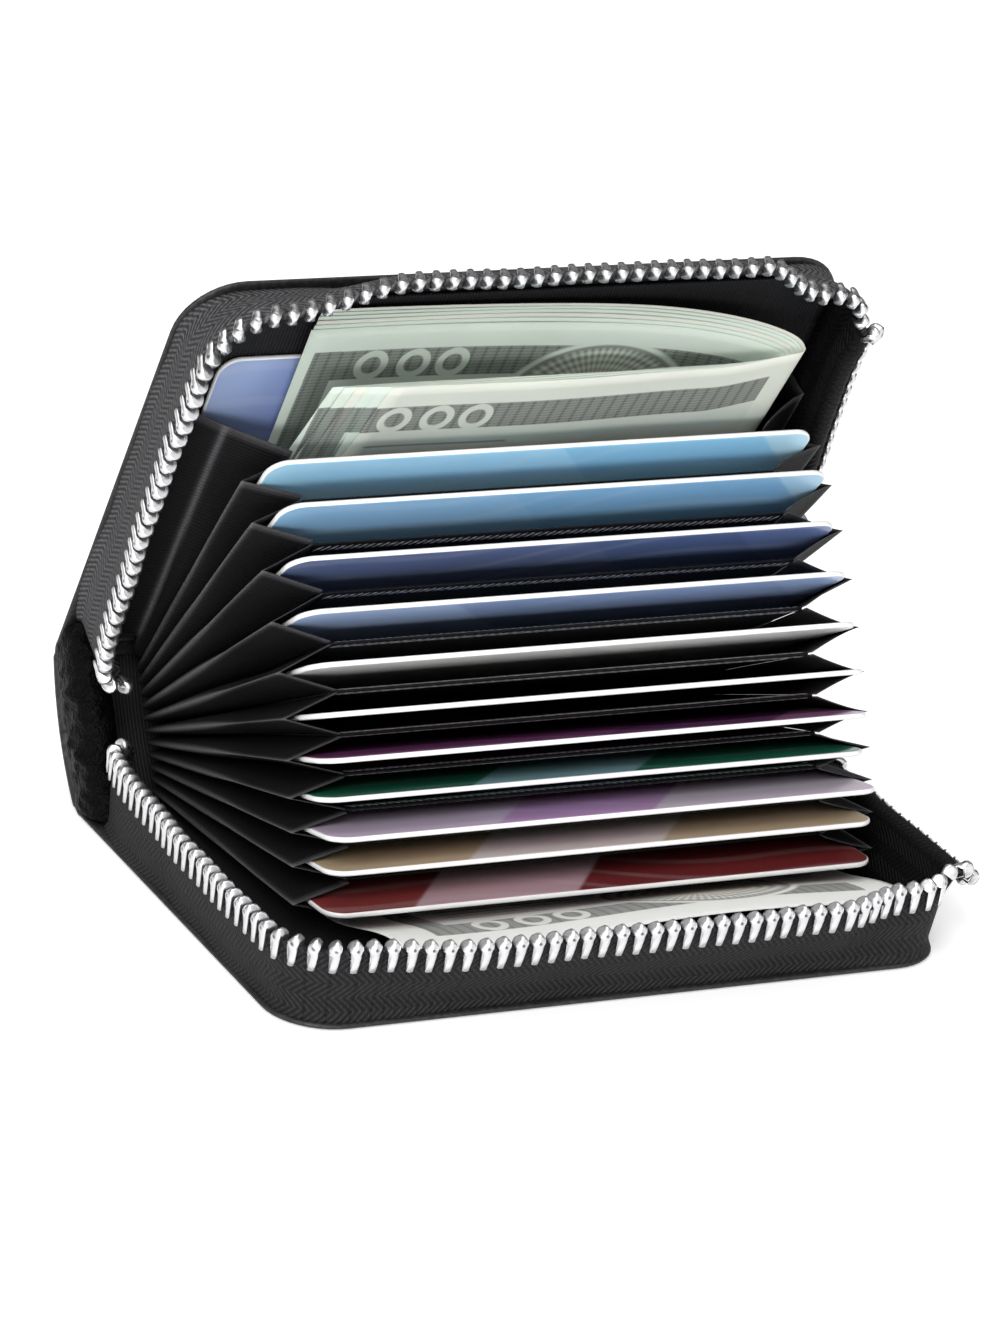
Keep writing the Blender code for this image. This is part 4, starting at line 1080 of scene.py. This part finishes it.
def leaf_clearance(height, angle, depth, pocket_height, pocket_angle, reach):
    """How far a neighbouring leaf's face stands from a pocket's middle plane at a distance out from the spine."""
    lean = pocket_angle - HALF_OPENING
    tilt = angle - pocket_angle
    rise = (height - pocket_height) * np.cos(lean)
    start = (height - pocket_height) * np.sin(lean)
    return rise + (reach - start) * np.tan(tilt) - depth / np.cos(tilt)


def pleat_line(half_front, half_back, back, corner):
    """One side of a pleat's plan: straight down the side, a quarter circle at the back, and in to the middle."""
    share = 1 - np.linspace(0, 1, 64) ** 0.8
    reach = back + corner + (PLEAT_DEPTH - back - corner) * share
    half = half_back + (half_front - half_back) * smooth_step((reach - back) / PLEAT_DEPTH)
    quarter = np.linspace(0, math.pi / 2, 12)[1:]
    bend = np.stack([half_back - corner + corner * np.cos(quarter), back + corner - corner * np.sin(quarter)], axis=1)
    middle = np.linspace(half_back - corner, PLEAT_MIDDLE_GAP, 16)[1:]
    middle = np.stack([middle, np.full(15, back)], axis=1)
    return np.concatenate([np.stack([half, reach], axis=1), bend, middle])


def across_rows(grid):
    """The distance from the first column along each row of a grid of points."""
    steps = np.linalg.norm(np.diff(grid, axis=1), axis=2)
    return np.concatenate([np.zeros((len(grid), 1)), np.cumsum(steps, axis=1)], axis=1)


def pleat_profile(share, convex, hollow):
    """(1 - g^convex)^(hollow / convex): 1 at the seam, 0 at the crease, bowed out by convex and in by hollow."""
    return np.clip(1 - share**convex, 0, 1) ** (hollow / convex)


def folded(above, below):
    """One grid from the columns of an upper leaf out to its fold and those of the lower leaf back from it."""
    return np.concatenate([above, below[:, -2::-1]], axis=1)


def pleat_face(side, inner, seam, ridge, upper, lower, flanged):
    """One face of a pleat's arm at one side, as its x, its reach and its height over the pocket's middle plane.

    From seam to crease the plan is seam + (crease - seam) g and the height clearance pleat_profile(g), above and then
    below. A flanged one runs out to the zip tape above instead, and its height falls straight.
    """
    g = 1 - (1 - np.linspace(0, 1, 13)) ** 1.5
    openness = smooth_step((ridge[:, 1] - PLEAT_OPENS) / (PLEAT_DEPTH - PLEAT_OPENS))
    convex = (PLEAT_CONVEX + (1.0 - PLEAT_CONVEX) * smooth_step(openness * 1.25))[:, None]
    hollow = (1 + (PLEAT_HOLLOW[side] - 1) * openness)[:, None]
    crease = ridge + unit(seam - ridge) * PLEAT_CREASE * inner
    top_seam = seam.copy()
    top = (upper - PLEAT_CLOTH * inner)[:, None] * pleat_profile(g[None], convex, hollow)
    if flanged:
        out = COVER_WIDTH / 2 - FLANGE_INSET - side * ACCORDION_SHIFT
        spread = smooth_step((seam[:, 1] - FLANGE_START) / FLANGE_SWING)
        top_seam[:, 0] += (out - seam[:, 0]) * spread
        flat = smooth_step((top_seam[:, 0] - crease[:, 0]) / FLANGE_RUN)[:, None]
        straight = (upper - PLEAT_CLOTH + PLEAT_CLOTH * inner)[:, None] * (1 - g[None])
        top = top * (1 - flat) + straight * flat
    bottom = (lower - PLEAT_CLOTH * inner)[:, None] * pleat_profile(g[None], convex, hollow)
    plan_top, plan_low = (line[:, None] + (crease - line)[:, None] * g[None, :, None] for line in (top_seam, seam))
    plan = folded(plan_top, plan_low)
    return side * plan[..., 0], plan[..., 1], folded(top, -bottom)


def pleat(number, pocket_height, pocket_angle, above, below):
    """The arms of both sides in one strip of cloth that runs behind the card, from the left mouth to the right one.

    Mark 'worn' = e^-(d / c)^2 + 0.55 e^-(s / c)^2 at distances d from the crease and s from the seams, and the mouth:
    painted highlights, fading in from the spine and weaker on the inner face.
    """
    ridge = pleat_line(PLEAT_HALF_FRONT, PLEAT_HALF_BACK, PLEAT_BACK, PLEAT_CORNER)
    seam = pleat_line(PLEAT_SEAM_HALF, PLEAT_SEAM_HALF, PLEAT_BACK_SEAM, 0.001)
    upper = leaf_clearance(*above, pocket_height, pocket_angle, ridge[:, 1]) - PLEAT_MARGIN
    lower = -leaf_clearance(*below, pocket_height, pocket_angle, ridge[:, 1]) - PLEAT_MARGIN
    whole = []
    for inner in (0, 1):
        left, right = (pleat_face(side, inner, seam, ridge, upper, lower, number == 0) for side in (-1, 1))
        x, reach, rise = (np.concatenate([one, two[::-1]], axis=0) for one, two in zip(left, right))
        shut = np.stack([ACCORDION_SHIFT + x, -reach, pocket_height + rise], axis=-1)
        whole.append(with_leaf(shut, pocket_height, pocket_angle))
    stations = np.concatenate([ridge[:, 1], ridge[::-1, 1]])[:, None]
    across = across_rows(whole[0])
    from_crease = np.abs(across - across[:, across.shape[1] // 2, None])
    from_seam = np.minimum(across, across[:, -1:] - across)
    fold = np.exp(-((from_crease / CREASE_HIGHLIGHT) ** 2)) + 0.55 * np.exp(-((from_seam / SEAM_HIGHLIGHT) ** 2))
    mouth = (stations > PLEAT_DEPTH - MOUTH_HIGHLIGHT) * 0.5
    worn = np.clip(fold * smooth_step(stations / HIGHLIGHT_RUN) + mouth, 0, 1)
    pattern = np.stack([across, stations + 0 * across], axis=-1) / MM
    return slab(f"pleat_cloth_{number:02d}", *whole, pattern, {"worn": [worn, worn * 0.3]})


def folds_with_wallet(made, height, angle, keep):
    """The cloth hands its pocket's middle plane to flattens, which gives it its own copy of its mesh."""
    flattens(made, with_leaf(np.array([[0, 0, height], [0, 0, height + 0.01]]), height, angle))


CEILING = CLOSED_THICKNESS - LINING_TOP
ROOF = (UPPER_HINGE_HEIGHT, 2 * HALF_OPENING, UPPER_HINGE_HEIGHT - CEILING)
LEAVES = [(height, angle, 0) for height, angle in zip(LEAF_HEIGHTS, LEAF_ANGLES)]
COMPARTMENT = ((CEILING + LEAF_HEIGHTS[0]) / 2, (2 * HALF_OPENING + LEAF_ANGLES[0]) / 2)
for number in range(POCKETS + 1):
    fold, above, body = COMPARTMENT, ROOF, "upper_cover"
    if number:
        fold, above = (POCKET_HEIGHTS[number - 1], POCKET_ANGLES[number - 1]), LEAVES[number - 1]
        body = f"pocket_{number:02d}"
    made = pleat(number, *fold, above, LEAVES[number])
    folds_with_wallet(add(made, cloth, "accordion_fabric", body, f"pleat_{number:02d}"), *fold, PLEAT_KEEP)


# Cards.
# Eleven plastic cards of the usual size stand in the pockets and one more lies loose against the upper lining.
# They are white plastic with printed faces under a clear layer, so their rounded edges show as white lines.

CARD_WIDTH = 0.0856
CARD_DEPTH = 0.054
CARD_THICKNESS = 0.00076
CARD_ROUND = 0.00318
CARD_BACKS = np.array((2.6, 3.0, 2.0, 2.8, 3.6, 4.8, 5.0, 3.0, 5.8, 4.0, 4.4)) * MM
CARD_SHIFTS = np.array((0, 0.3, 0.3, 0.2, 0, -0.2, -0.3, -0.2, 0, 0.2, -0.2)) * MM
LOOSE_CARD_GAP = 0.0003
LOOSE_CARD = (0.0055, ACCORDION_SHIFT - 0.0045, LINING_TOP + LOOSE_CARD_GAP)
# how far the outline is drawn in, and its height as a share of the thickness
CARD_EDGE = ((3.0, 0.0), (0.9, 0.0), (0.42, 0.0), (0.2, 0.03), (0.06, 0.16), (0.0, 0.4), (0.0, 0.6), (0.06, 0.84),
             (0.2, 0.97), (0.42, 1.0), (0.9, 1.0), (3.0, 1.0))


def card(name, back, shift, bottom, place):
    """Rings of a round-cornered oblong, drawn in by CARD_EDGE, capped above and below. Mark 'rim' is 1 at the edge."""
    inset, share = (column[:, None] for column in np.array(CARD_EDGE).T)
    corner = np.repeat([(1, 1), (-1, 1), (-1, -1), (1, -1)], 9, axis=0)
    angle = (np.arange(4)[:, None] * math.pi / 2 + np.linspace(0, math.pi / 2, 9)).ravel()
    centre = corner * (np.array([CARD_WIDTH / 2, CARD_DEPTH / 2]) - CARD_ROUND)
    radius = (CARD_ROUND - inset * MM)[..., None]
    outline = centre + radius * np.stack([np.cos(angle), np.sin(angle)], axis=1)
    y = outline[..., 1] - back - CARD_DEPTH / 2
    points = np.stack([outline[..., 0] + shift, y, bottom + share * CARD_THICKNESS + 0 * y], axis=-1)
    rim = np.where(inset < 0.1, 1.0, np.where(inset < 0.3, 0.5, 0.0)) + 0 * y
    return piece(name, place(points.reshape(-1, 3)), *ring_faces(*y.shape), outline / MM, {"rim": rim})


def card_finish(name, ground, panel, far, first, second, slant=0.8, soft=0.5):
    """A printed face: the ground, a slanting panel from first to second, a far colour past it, a white core at the rim.

    Both edges of the panel are lines x - slant (y + 27) = constant, in millimetres on the card from its middle.
    """
    face = Finish(name, Coat_Weight=0.3, Coat_Roughness=0.14, Specular_IOR_Level=0.4)
    x, y = face.pattern("X"), face.pattern("Y")
    drift = face.noise(55, 2)
    line = x - (y + 27.0) * slant
    deep = tuple(0.90 * c for c in ground)
    colour = face.mix((line * (1 / 60) + 0.7) * 0.8 + drift * 0.25, deep, ground)
    colour = face.mix(line.over(first, soft), colour, panel)
    colour = face.mix(line.over(second, soft), colour, far)
    swirl = (((x * 0.11).sin() * 3.0 + y * 0.9 + x * 0.25).sin() * 0.5 + 0.5).over(0.86, 0.12)
    colour = face.mix(swirl * 0.08, colour, (0.86, 0.88, 0.92))
    colour = face.mix(face.mark("rim").over(0.42, 0.16), colour, (0.90, 0.90, 0.89))
    return face.set(Base_Color=colour, Roughness=0.26 + drift * 0.12)


# for each card, from the uppermost: slot, colours of ground, panel and far end, and where the panel begins and ends
CARD_PRINTS = (
    ("card_sky_blue", (0.42, 0.76, 0.98), (0.32, 0.66, 0.90), (0.50, 0.78, 0.93), 2, 34),
    ("card_sky_blue", (0.31, 0.58, 0.86), (0.25, 0.52, 0.80), (0.42, 0.68, 0.88), -8, 34),
    ("card_indigo", (0.15, 0.20, 0.38), (0.11, 0.165, 0.35), (0.14, 0.20, 0.41), 3, 26),
    ("card_periwinkle", (0.45, 0.60, 0.92), (0.31, 0.43, 0.72), (0.36, 0.49, 0.78), -20, 30),
    ("card_white", (0.80, 0.80, 0.79), (0.88, 0.88, 0.87), (0.80, 0.80, 0.80), 0, 30),
    ("card_white", (0.84, 0.84, 0.82), (0.88, 0.88, 0.87), (0.80, 0.80, 0.80), -10, 28),
    ("card_plum", (0.17, 0.035, 0.14), (0.11, 0.02, 0.10), (0.30, 0.12, 0.26), 0, 26),
    ("card_green", (0.014, 0.17, 0.09), (0.24, 0.48, 0.50), (0.013, 0.18, 0.10), -20, 5),
    ("card_mauve", (0.64, 0.50, 0.66), (0.50, 0.28, 0.52), (0.64, 0.53, 0.64), -18, 6),
    ("card_sand", (0.60, 0.47, 0.28), (0.76, 0.71, 0.63), (0.54, 0.43, 0.27), -22, 8),
    ("card_maroon", (0.24, 0.04, 0.04), (0.52, 0.34, 0.39), (0.17, 0.02, 0.022), -30, -5),
)
for number, (slot, *looks) in enumerate(CARD_PRINTS, 1):
    height, angle = POCKET_HEIGHTS[number - 1], POCKET_ANGLES[number - 1]
    made = card(
        f"printed_card_{number:02d}",
        CARD_BACKS[number - 1],
        ACCORDION_SHIFT + CARD_SHIFTS[number - 1],
        height - CARD_THICKNESS / 2,
        lambda points: with_leaf(points, height, angle),
    )
    add(made, card_finish(f"{slot}_{number:02d}", *looks), slot, f"card_{number:02d}", f"card_{number:02d}")
# the loose card's own periwinkle darkens across it through deep blue to nearly black: the darker blue and the near
# black are a painted shadow where it lies behind the notes
periwinkle_into_painted_shadow = (0.42, 0.54, 0.82), (0.20, 0.27, 0.55), (0.04, 0.06, 0.19)
loose = card_finish("card_periwinkle_loose_painted_shadow", *periwinkle_into_painted_shadow, -34, -16, slant=-0.35, soft=12.0)
add(card("printed_loose_card", *LOOSE_CARD, as_upper), loose, "card_periwinkle", "loose_card", "loose_card")


# Banknotes.
# A bundle of cotton paper notes, folded once at the right, fills the compartment under the upper cover, and
# one more note lies under the accordion. They carry a plain pattern of engraved lines of no real currency.

NOTE_FOLD = 77.0
NOTE_PAPER = 0.00011
NOTES_CARD_FACE = (UPPER_HINGE_HEIGHT, 2 * HALF_OPENING, UPPER_HINGE_HEIGHT - CEILING + LOOSE_CARD_GAP + CARD_THICKNESS)
NOTES_HEIGHT = (CEILING - LOOSE_CARD_GAP - CARD_THICKNESS + LEAF_HEIGHTS[0]) / 2
NOTES_ANGLE = COMPARTMENT[1]
NOTES_KEEP = 0.12
NOTE_LIFT = 0.0013
NOTE_BOW = (2.6, 3.4)
NOTE_TIP_DROP = 0.0025
NOTE_TIP_SHORT = 3.0
NOTE_SLANT = 0.12
NOTE_RIPPLE = 0.00014
# the print in millimetres: the band's foot and top, its left border and its right end; the rings; the oval's middle
# and half sizes
NOTE_BAND = ((4.6, 10.2), (5.0, 9.0), 72.0)
NOTE_RINGS = (14.5, 21.0, 27.0)
NOTE_OVAL = (51.0, 15.5, 13.0, 10.5)
# for each note, from the outside of the bundle in: gap, back and front reach, left edge above and below, right fold,
# how much shorter the lower leaf is at its left, all in millimetres
NOTES = (
    (0.30, 4.0, 70.4, -31.2, -22.6, 41.8, 5.6),
    (0.50, 5.0, 70.0, -31.7, -24.2, 41.4, 5.2),
    (0.70, 6.0, 69.6, -32.0, -26.0, 41.1, 4.8),
    (0.95, 12.5, 69.1, -32.2, -27.6, 40.7, 4.4),
    (1.15, 13.0, 68.5, -32.5, -29.4, 40.3, 4.0),
    (1.40, 13.5, 67.9, -32.9, -31.0, 39.9, 3.7),
)
CREAM_NOTES = (1, 4)
# the note under the accordion: its left and right ends, its front and back, where it lies, and how it curls up
FLAT_NOTE_X = (-0.033, 0.0465)
FLAT_NOTE_Y = (-0.0675, -0.0025)
FLAT_NOTE_GAP = 0.00028
FLAT_NOTE_RIPPLE = 0.00012
FLAT_NOTE_CURL = 0.0062
FLAT_NOTE_CURL_START = -0.041
FLAT_NOTE_CURL_RUN = 0.025


def folded_note(number, gap, back, front, left_above, left_below, right, short):
    """Across the fold: x = left + (right - left) g and height = clearance (1 - g^b)^(1/b), above and then below.

    The crease drops towards its front end, and both leaves are shorter there.
    """
    share = np.linspace(0, 1, 30)[:, None]
    g = np.sin(np.linspace(0, math.pi / 2, 40))[None, :]
    bows = [np.clip(1 - g**power, 0, 1) ** (1 / power) for power in NOTE_BOW]
    flat_part = smooth_step(5 - 5 * g)
    deep = (back + (front - back - NOTE_TIP_SHORT * g**6) * share) * MM
    lower_front = front - short * flat_part - NOTE_TIP_SHORT * (1 - flat_part)
    lower_deep = (back + (lower_front - back) * share) * MM
    above = leaf_clearance(*NOTES_CARD_FACE, NOTES_HEIGHT, NOTES_ANGLE, deep)
    below = -leaf_clearance(*LEAVES[0], NOTES_HEIGHT, NOTES_ANGLE, deep) - NOTE_LIFT * share
    slanted = left_below - NOTE_SLANT * (front - back) * (1 - share)
    ripple = NOTE_RIPPLE * np.sin(g * 9 + number) * smooth_step((1 - g) * 3)
    drop = NOTE_TIP_DROP * share * g**3
    faces = []
    for thick in (0.0, NOTE_PAPER):
        depth = gap * MM + thick
        crease = right - thick / MM
        x_above = left_above + (crease - left_above) * g + 0 * deep
        x_below = slanted + (crease - slanted) * g
        z_above = (above - depth) * bows[0] + ripple * 0.5 - drop
        z_below = -(below - depth) * bows[1] + ripple - drop * g**6
        leaves = ((x_above, x_below), (deep + 0 * g, lower_deep), (z_above, z_below))
        x, y, z = (folded(*pair) for pair in leaves)
        faces.append(np.stack([x * MM, -y, NOTES_HEIGHT + z], axis=-1))
    along = across_rows(faces[0])
    along += NOTE_FOLD * MM - along[:, 39:40]
    from_front = faces[0][:, :, 1] - faces[0][-1:, :, 1]
    pattern = np.stack([along, from_front], axis=-1) / MM
    return slab(f"banknote_{number}", *(with_leaf(face, NOTES_HEIGHT, NOTES_ANGLE) for face in faces), pattern)


def note_finish(name, paper, ink):
    """Pale paper printed in one dark ink: a band of crossed waves with rings in it, an oval of fine rays, ruled lines.

    x is the distance from the left edge, the same on both leaves, and y the distance from the front edge.
    """
    note = Finish(name, Specular_IOR_Level=0.3)
    across, y = note.pattern("X"), note.pattern("Y")
    x = NOTE_FOLD - abs(across - NOTE_FOLD)
    first_half = across.below(NOTE_FOLD, 0.1)
    fibre = note.noise(1500, 4)
    blotch = note.noise(90, 2)

    def between(value, low, high, soft=0.15):
        return value.over(low, soft) * value.below(high, soft)

    swing = (x * 1.7).sin() * 1.9
    waves = ((y * 5.2 + swing).sin() * (y * 5.2 - swing).sin() * 0.5 + 0.5).over(0.5, 0.35)
    hatch = ((x + y) * 9.0).sin() * 0.5 + 0.5
    engraved = 0.66 + waves * 0.2 + hatch * 0.14
    foot, left_edge, right_edge = NOTE_BAND
    band = between(y, *foot) * between(x, left_edge[0], right_edge)
    edge = between(x, *left_edge) * between(y, foot[0], 60.0)
    rings = 0.0
    for centre in NOTE_RINGS:
        ring = ((x - centre) * (1 / 2.5)) ** 2 + ((y - 7.6) * (1 / 2.9)) ** 2
        rings = between(ring, 0.32, 1.0, 0.08) + rings
    middle_x, middle_y, half_width, half_height = NOTE_OVAL
    right, up = x - middle_x, y - middle_y
    oval = ((right * (1 / half_width)) ** 2 + (up * (1 / half_height)) ** 2) ** 0.5 + (1 - first_half) * 9.0
    turn = up.math("ARCTAN2", up, right)
    rays = ((turn * 60.0).sin() * 0.25 + (oval * 46.0).sin() * 0.25 + 0.5) * oval.over(0.35, 0.7)
    medal = oval.below(1.0, 0.03) * rays + between(oval, 1.0, 1.06, 0.02) * 0.8
    clear = oval.below(1.14, 0.03)
    rules = abs((y * (1 / 2.1)).part() - 0.5).below(0.10, 0.06)
    rules = rules * between(x, 12.0, 34.0, 0.4) * between(y, 12.5, 30.0, 0.3)
    field = between(y, foot[1], 60.0) * between(x, left_edge[1], right_edge) * (0.05 + 0.06 * hatch)
    frame_lines = band + edge
    solid = frame_lines.below(1.0, 0.001) * frame_lines + frame_lines.over(1.0, 0.001)
    drawn = solid * engraved * (1 - rings * 0.85) + rules * 0.55 + field
    inked = drawn * (1 - clear) + medal * 0.85
    tinted = note.mix(blotch, paper, tuple(0.90 * c for c in paper))
    tinted = note.mix(oval.below(0.75, 0.5) * 0.5, tinted, (0.72, 0.66, 0.48))
    return note.set(
        Base_Color=note.mix(inked * 0.92, tinted, ink),
        Roughness=0.78 + fibre * 0.1,
        Normal=note.bump(fibre + inked * 0.3, 0.00004, 0.5),
    )


green_note = note_finish("banknote_paper", (0.62, 0.70, 0.62), (0.045, 0.050, 0.047))
cream_note = note_finish("banknote_paper_cream", (0.66, 0.68, 0.60), (0.045, 0.049, 0.046))
for number, (gap, back, front, *edges) in enumerate(NOTES, 1):
    made = folded_note(number, gap, back, front, *edges)
    paper = cream_note if number in CREAM_NOTES else green_note
    bundle = "folded_notes_outer" if number < 4 else "folded_notes_inner"
    add(made, paper, "banknote_paper", "upper_cover", bundle)
    folds_with_wallet(made, NOTES_HEIGHT, NOTES_ANGLE, NOTES_KEEP)


def flat_note():
    """A sheet on the lining with a low ripple, z = a (1 + sin(x / p) cos(y / q)), its front curled up at the zip."""
    x, y = np.meshgrid(np.linspace(*FLAT_NOTE_X, 90), np.linspace(*FLAT_NOTE_Y, 60), indexing="ij")
    z = LINING_TOP + FLAT_NOTE_GAP + FLAT_NOTE_RIPPLE * (1 + np.sin(x / 0.009) * np.cos(y / 0.013))
    curl = smooth_step((FLAT_NOTE_CURL_START - y) / FLAT_NOTE_CURL_RUN)
    z += FLAT_NOTE_CURL * curl * (1 + 0.10 * np.sin(x / 0.012))
    faces = [np.stack([x, y, z + lift], axis=-1) for lift in (NOTE_PAPER, 0)]
    pattern = np.stack([(x - FLAT_NOTE_X[0]) / MM - 2, (y - FLAT_NOTE_Y[0]) / MM], axis=-1)
    return slab("banknote_under_accordion", *faces, pattern)


# the note under the accordion has paper and ink painted paler than the bundle's: painted light where the cards and the
# zip wall shade it
painted_light_note = note_finish("banknote_paper_painted_light", (0.88, 0.90, 0.86), (0.09, 0.095, 0.09))
made = add(flat_note(), painted_light_note, "banknote_paper", "lower_cover", "lower_note")


# Floor, light and camera.
# The wallet lies on a plain pale floor under four soft lamps and a bright sky, seen from the photograph's
# angle. The floor and the sky show white to the camera, and the floor keeps the wallet's shadow.

FLOOR_SIZE = 6.0
FLOOR_DROP = 0.00002
# the floor's own glow near the wallet and how much more far off, and the middle and half width of that rise
FLOOR_GLOW = (0.42, 0.45)
FLOOR_RISE = (0.65, 0.28)
CAMERA_AZIMUTH = -29.38
CAMERA_ELEVATION = 22.27
CAMERA_ROLL = 7.20
CAMERA_DISTANCE = 0.8084
CAMERA_TARGET = (0.0, -0.035, 0.025)
PHOTO_WIDTH = 1000
PHOTO_HEIGHT = 1333
PHOTO_CENTRE = (531.2, 725.8)
FOCAL_PIXELS = 5787.8
SENSOR = 36.0
SKY_LIGHT = 0.30
SKY_BAND = (0.45, 0.55, -0.70)
SKY_DARK, SKY_BRIGHT = 0.12, 1.1


def white_to_the_eye(finish, share):
    """An emission of this strength that only camera, mirror and see-through rays meet."""
    camera, mirror, through = (finish.ray(kind) for kind in ("Camera", "Glossy", "Transmission"))
    return camera.math("MAXIMUM", camera, camera.math("MAXIMUM", mirror, through)) * share


def floor():
    """A square just below the wallet, with a glow of its own for the camera that rises with the distance."""
    x, y = np.meshgrid((-FLOOR_SIZE, FLOOR_SIZE), (-FLOOR_SIZE, FLOOR_SIZE), indexing="ij")
    points = np.stack([x, y, 0 * x - FLOOR_DROP], axis=-1).reshape(-1, 3)
    mesh = bpy.data.meshes.new("floor")
    mesh.from_pydata(points.tolist(), [], [(0, 2, 3, 1)])
    made = bpy.data.objects.new("floor", mesh)
    bpy.context.scene.collection.objects.link(made)
    paint = Finish("floor_paint", Roughness=1.0, Specular_IOR_Level=0.0)
    distance = paint.node("ShaderNodeVectorMath", {"operation": "LENGTH"}, {0: paint.place()}, "Value")
    near, more = FLOOR_GLOW
    glow = white_to_the_eye(paint, distance.over(*FLOOR_RISE) * more + near)
    colour = paint.mix(glow, (0.0, 0.0, 0.0), (1.0, 1.0, 1.0))
    dress(made, paint.set(Base_Color=(0.86, 0.86, 0.86, 1.0), Emission_Color=colour, Emission_Strength=1.0))
    return made


def sky():
    """White to the camera. To mirror rays a bright band over the upper left front, darker towards the right and below.

    Brightness for a mirror ray = 0.12 + 0.98 smoothstep of d . k from -0.2 to 0.95, for the ray's own direction d
    back to the eye and the band's middle k.
    """
    world = bpy.data.worlds.new("sky")
    tree = Tree(world, "BACKGROUND")
    ray = tree.node("ShaderNodeNewGeometry", {}, {}, "Incoming")
    facing = tree.node("ShaderNodeVectorMath", {"operation": "DOT_PRODUCT"}, {0: ray, 1: SKY_BAND}, "Value")
    sockets = {"Value": facing, "From Min": -0.2, "From Max": 0.95, "To Min": SKY_DARK, "To Max": SKY_BRIGHT}
    band = tree.node("ShaderNodeMapRange", {"interpolation_type": "SMOOTHSTEP"}, sockets, "Result")
    mirror = tree.node("ShaderNodeMix", {}, {"Factor": tree.ray("Glossy"), "A": SKY_LIGHT, "B": band}, "Result")
    seen = tree.node("ShaderNodeMix", {}, {"Factor": tree.ray("Camera"), "A": mirror, "B": 1.0}, "Result")
    tree.set(Strength=seen, Color=(1.0, 1.0, 1.0, 1.0))
    bpy.context.scene.world = world


def aimed(name, data, place, back, roll=0.0):
    """A lamp or camera that looks along -back, level with the floor and then rolled about its own line of sight."""
    back = back / np.linalg.norm(back)
    right = np.cross((0, 0, 1), back)
    right /= np.linalg.norm(right)
    up = np.cross(back, right)
    right, up = math.cos(roll) * right + math.sin(roll) * up, math.cos(roll) * up - math.sin(roll) * right
    made = bpy.data.objects.new(name, data)
    made.matrix_world = Matrix([*np.column_stack([right, up, back, place]).tolist(), [0, 0, 0, 1]])
    bpy.context.scene.collection.objects.link(made)
    return made


def lamp(name, place, aim, size, power):
    """A flat soft lamp at place, turned to aim, with its width and height in metres and its power in watts."""
    light = bpy.data.lights.new(name, "AREA")
    light.shape = "RECTANGLE"
    light.size, light.size_y = size
    light.energy = power
    aimed(name, light, place, np.subtract(place, aim))


def camera():
    """The view from azimuth, elevation and roll, shifted so that the target falls on the photo's own centre."""
    azimuth, elevation, roll = np.radians((CAMERA_AZIMUTH, CAMERA_ELEVATION, CAMERA_ROLL))
    flat = math.cos(elevation)
    back = np.array([math.sin(azimuth) * flat, -math.cos(azimuth) * flat, math.sin(elevation)])
    data = bpy.data.cameras.new("photo_camera")
    data.sensor_fit = "AUTO"
    data.sensor_width = SENSOR
    data.lens = FOCAL_PIXELS * SENSOR / PHOTO_HEIGHT
    data.shift_x = (PHOTO_WIDTH / 2 - PHOTO_CENTRE[0]) / PHOTO_HEIGHT
    data.shift_y = (PHOTO_CENTRE[1] - PHOTO_HEIGHT / 2) / PHOTO_HEIGHT
    data.clip_start = 0.01
    place = np.array(CAMERA_TARGET) + back * CAMERA_DISTANCE
    bpy.context.scene.camera = aimed("photo_camera", data, place, back, roll)


floor()
sky()
lamp("key_lamp", (-0.62, -0.72, 0.80), (0, -0.03, 0.03), (0.6, 0.6), 10.0)
lamp("fill_lamp", (0.85, -0.6, 0.45), (0, -0.03, 0.03), (0.8, 0.8), 1.6)
lamp("front_lamp", (-0.5, -1.05, 0.08), (0, -0.03, 0.04), (1.0, 0.2), 7.0)
lamp("top_lamp", (0.0, 0.25, 1.0), (0, -0.03, 0.03), (0.9, 0.5), 3.5)
camera()
bpy.context.scene.view_settings.view_transform = "Standard"
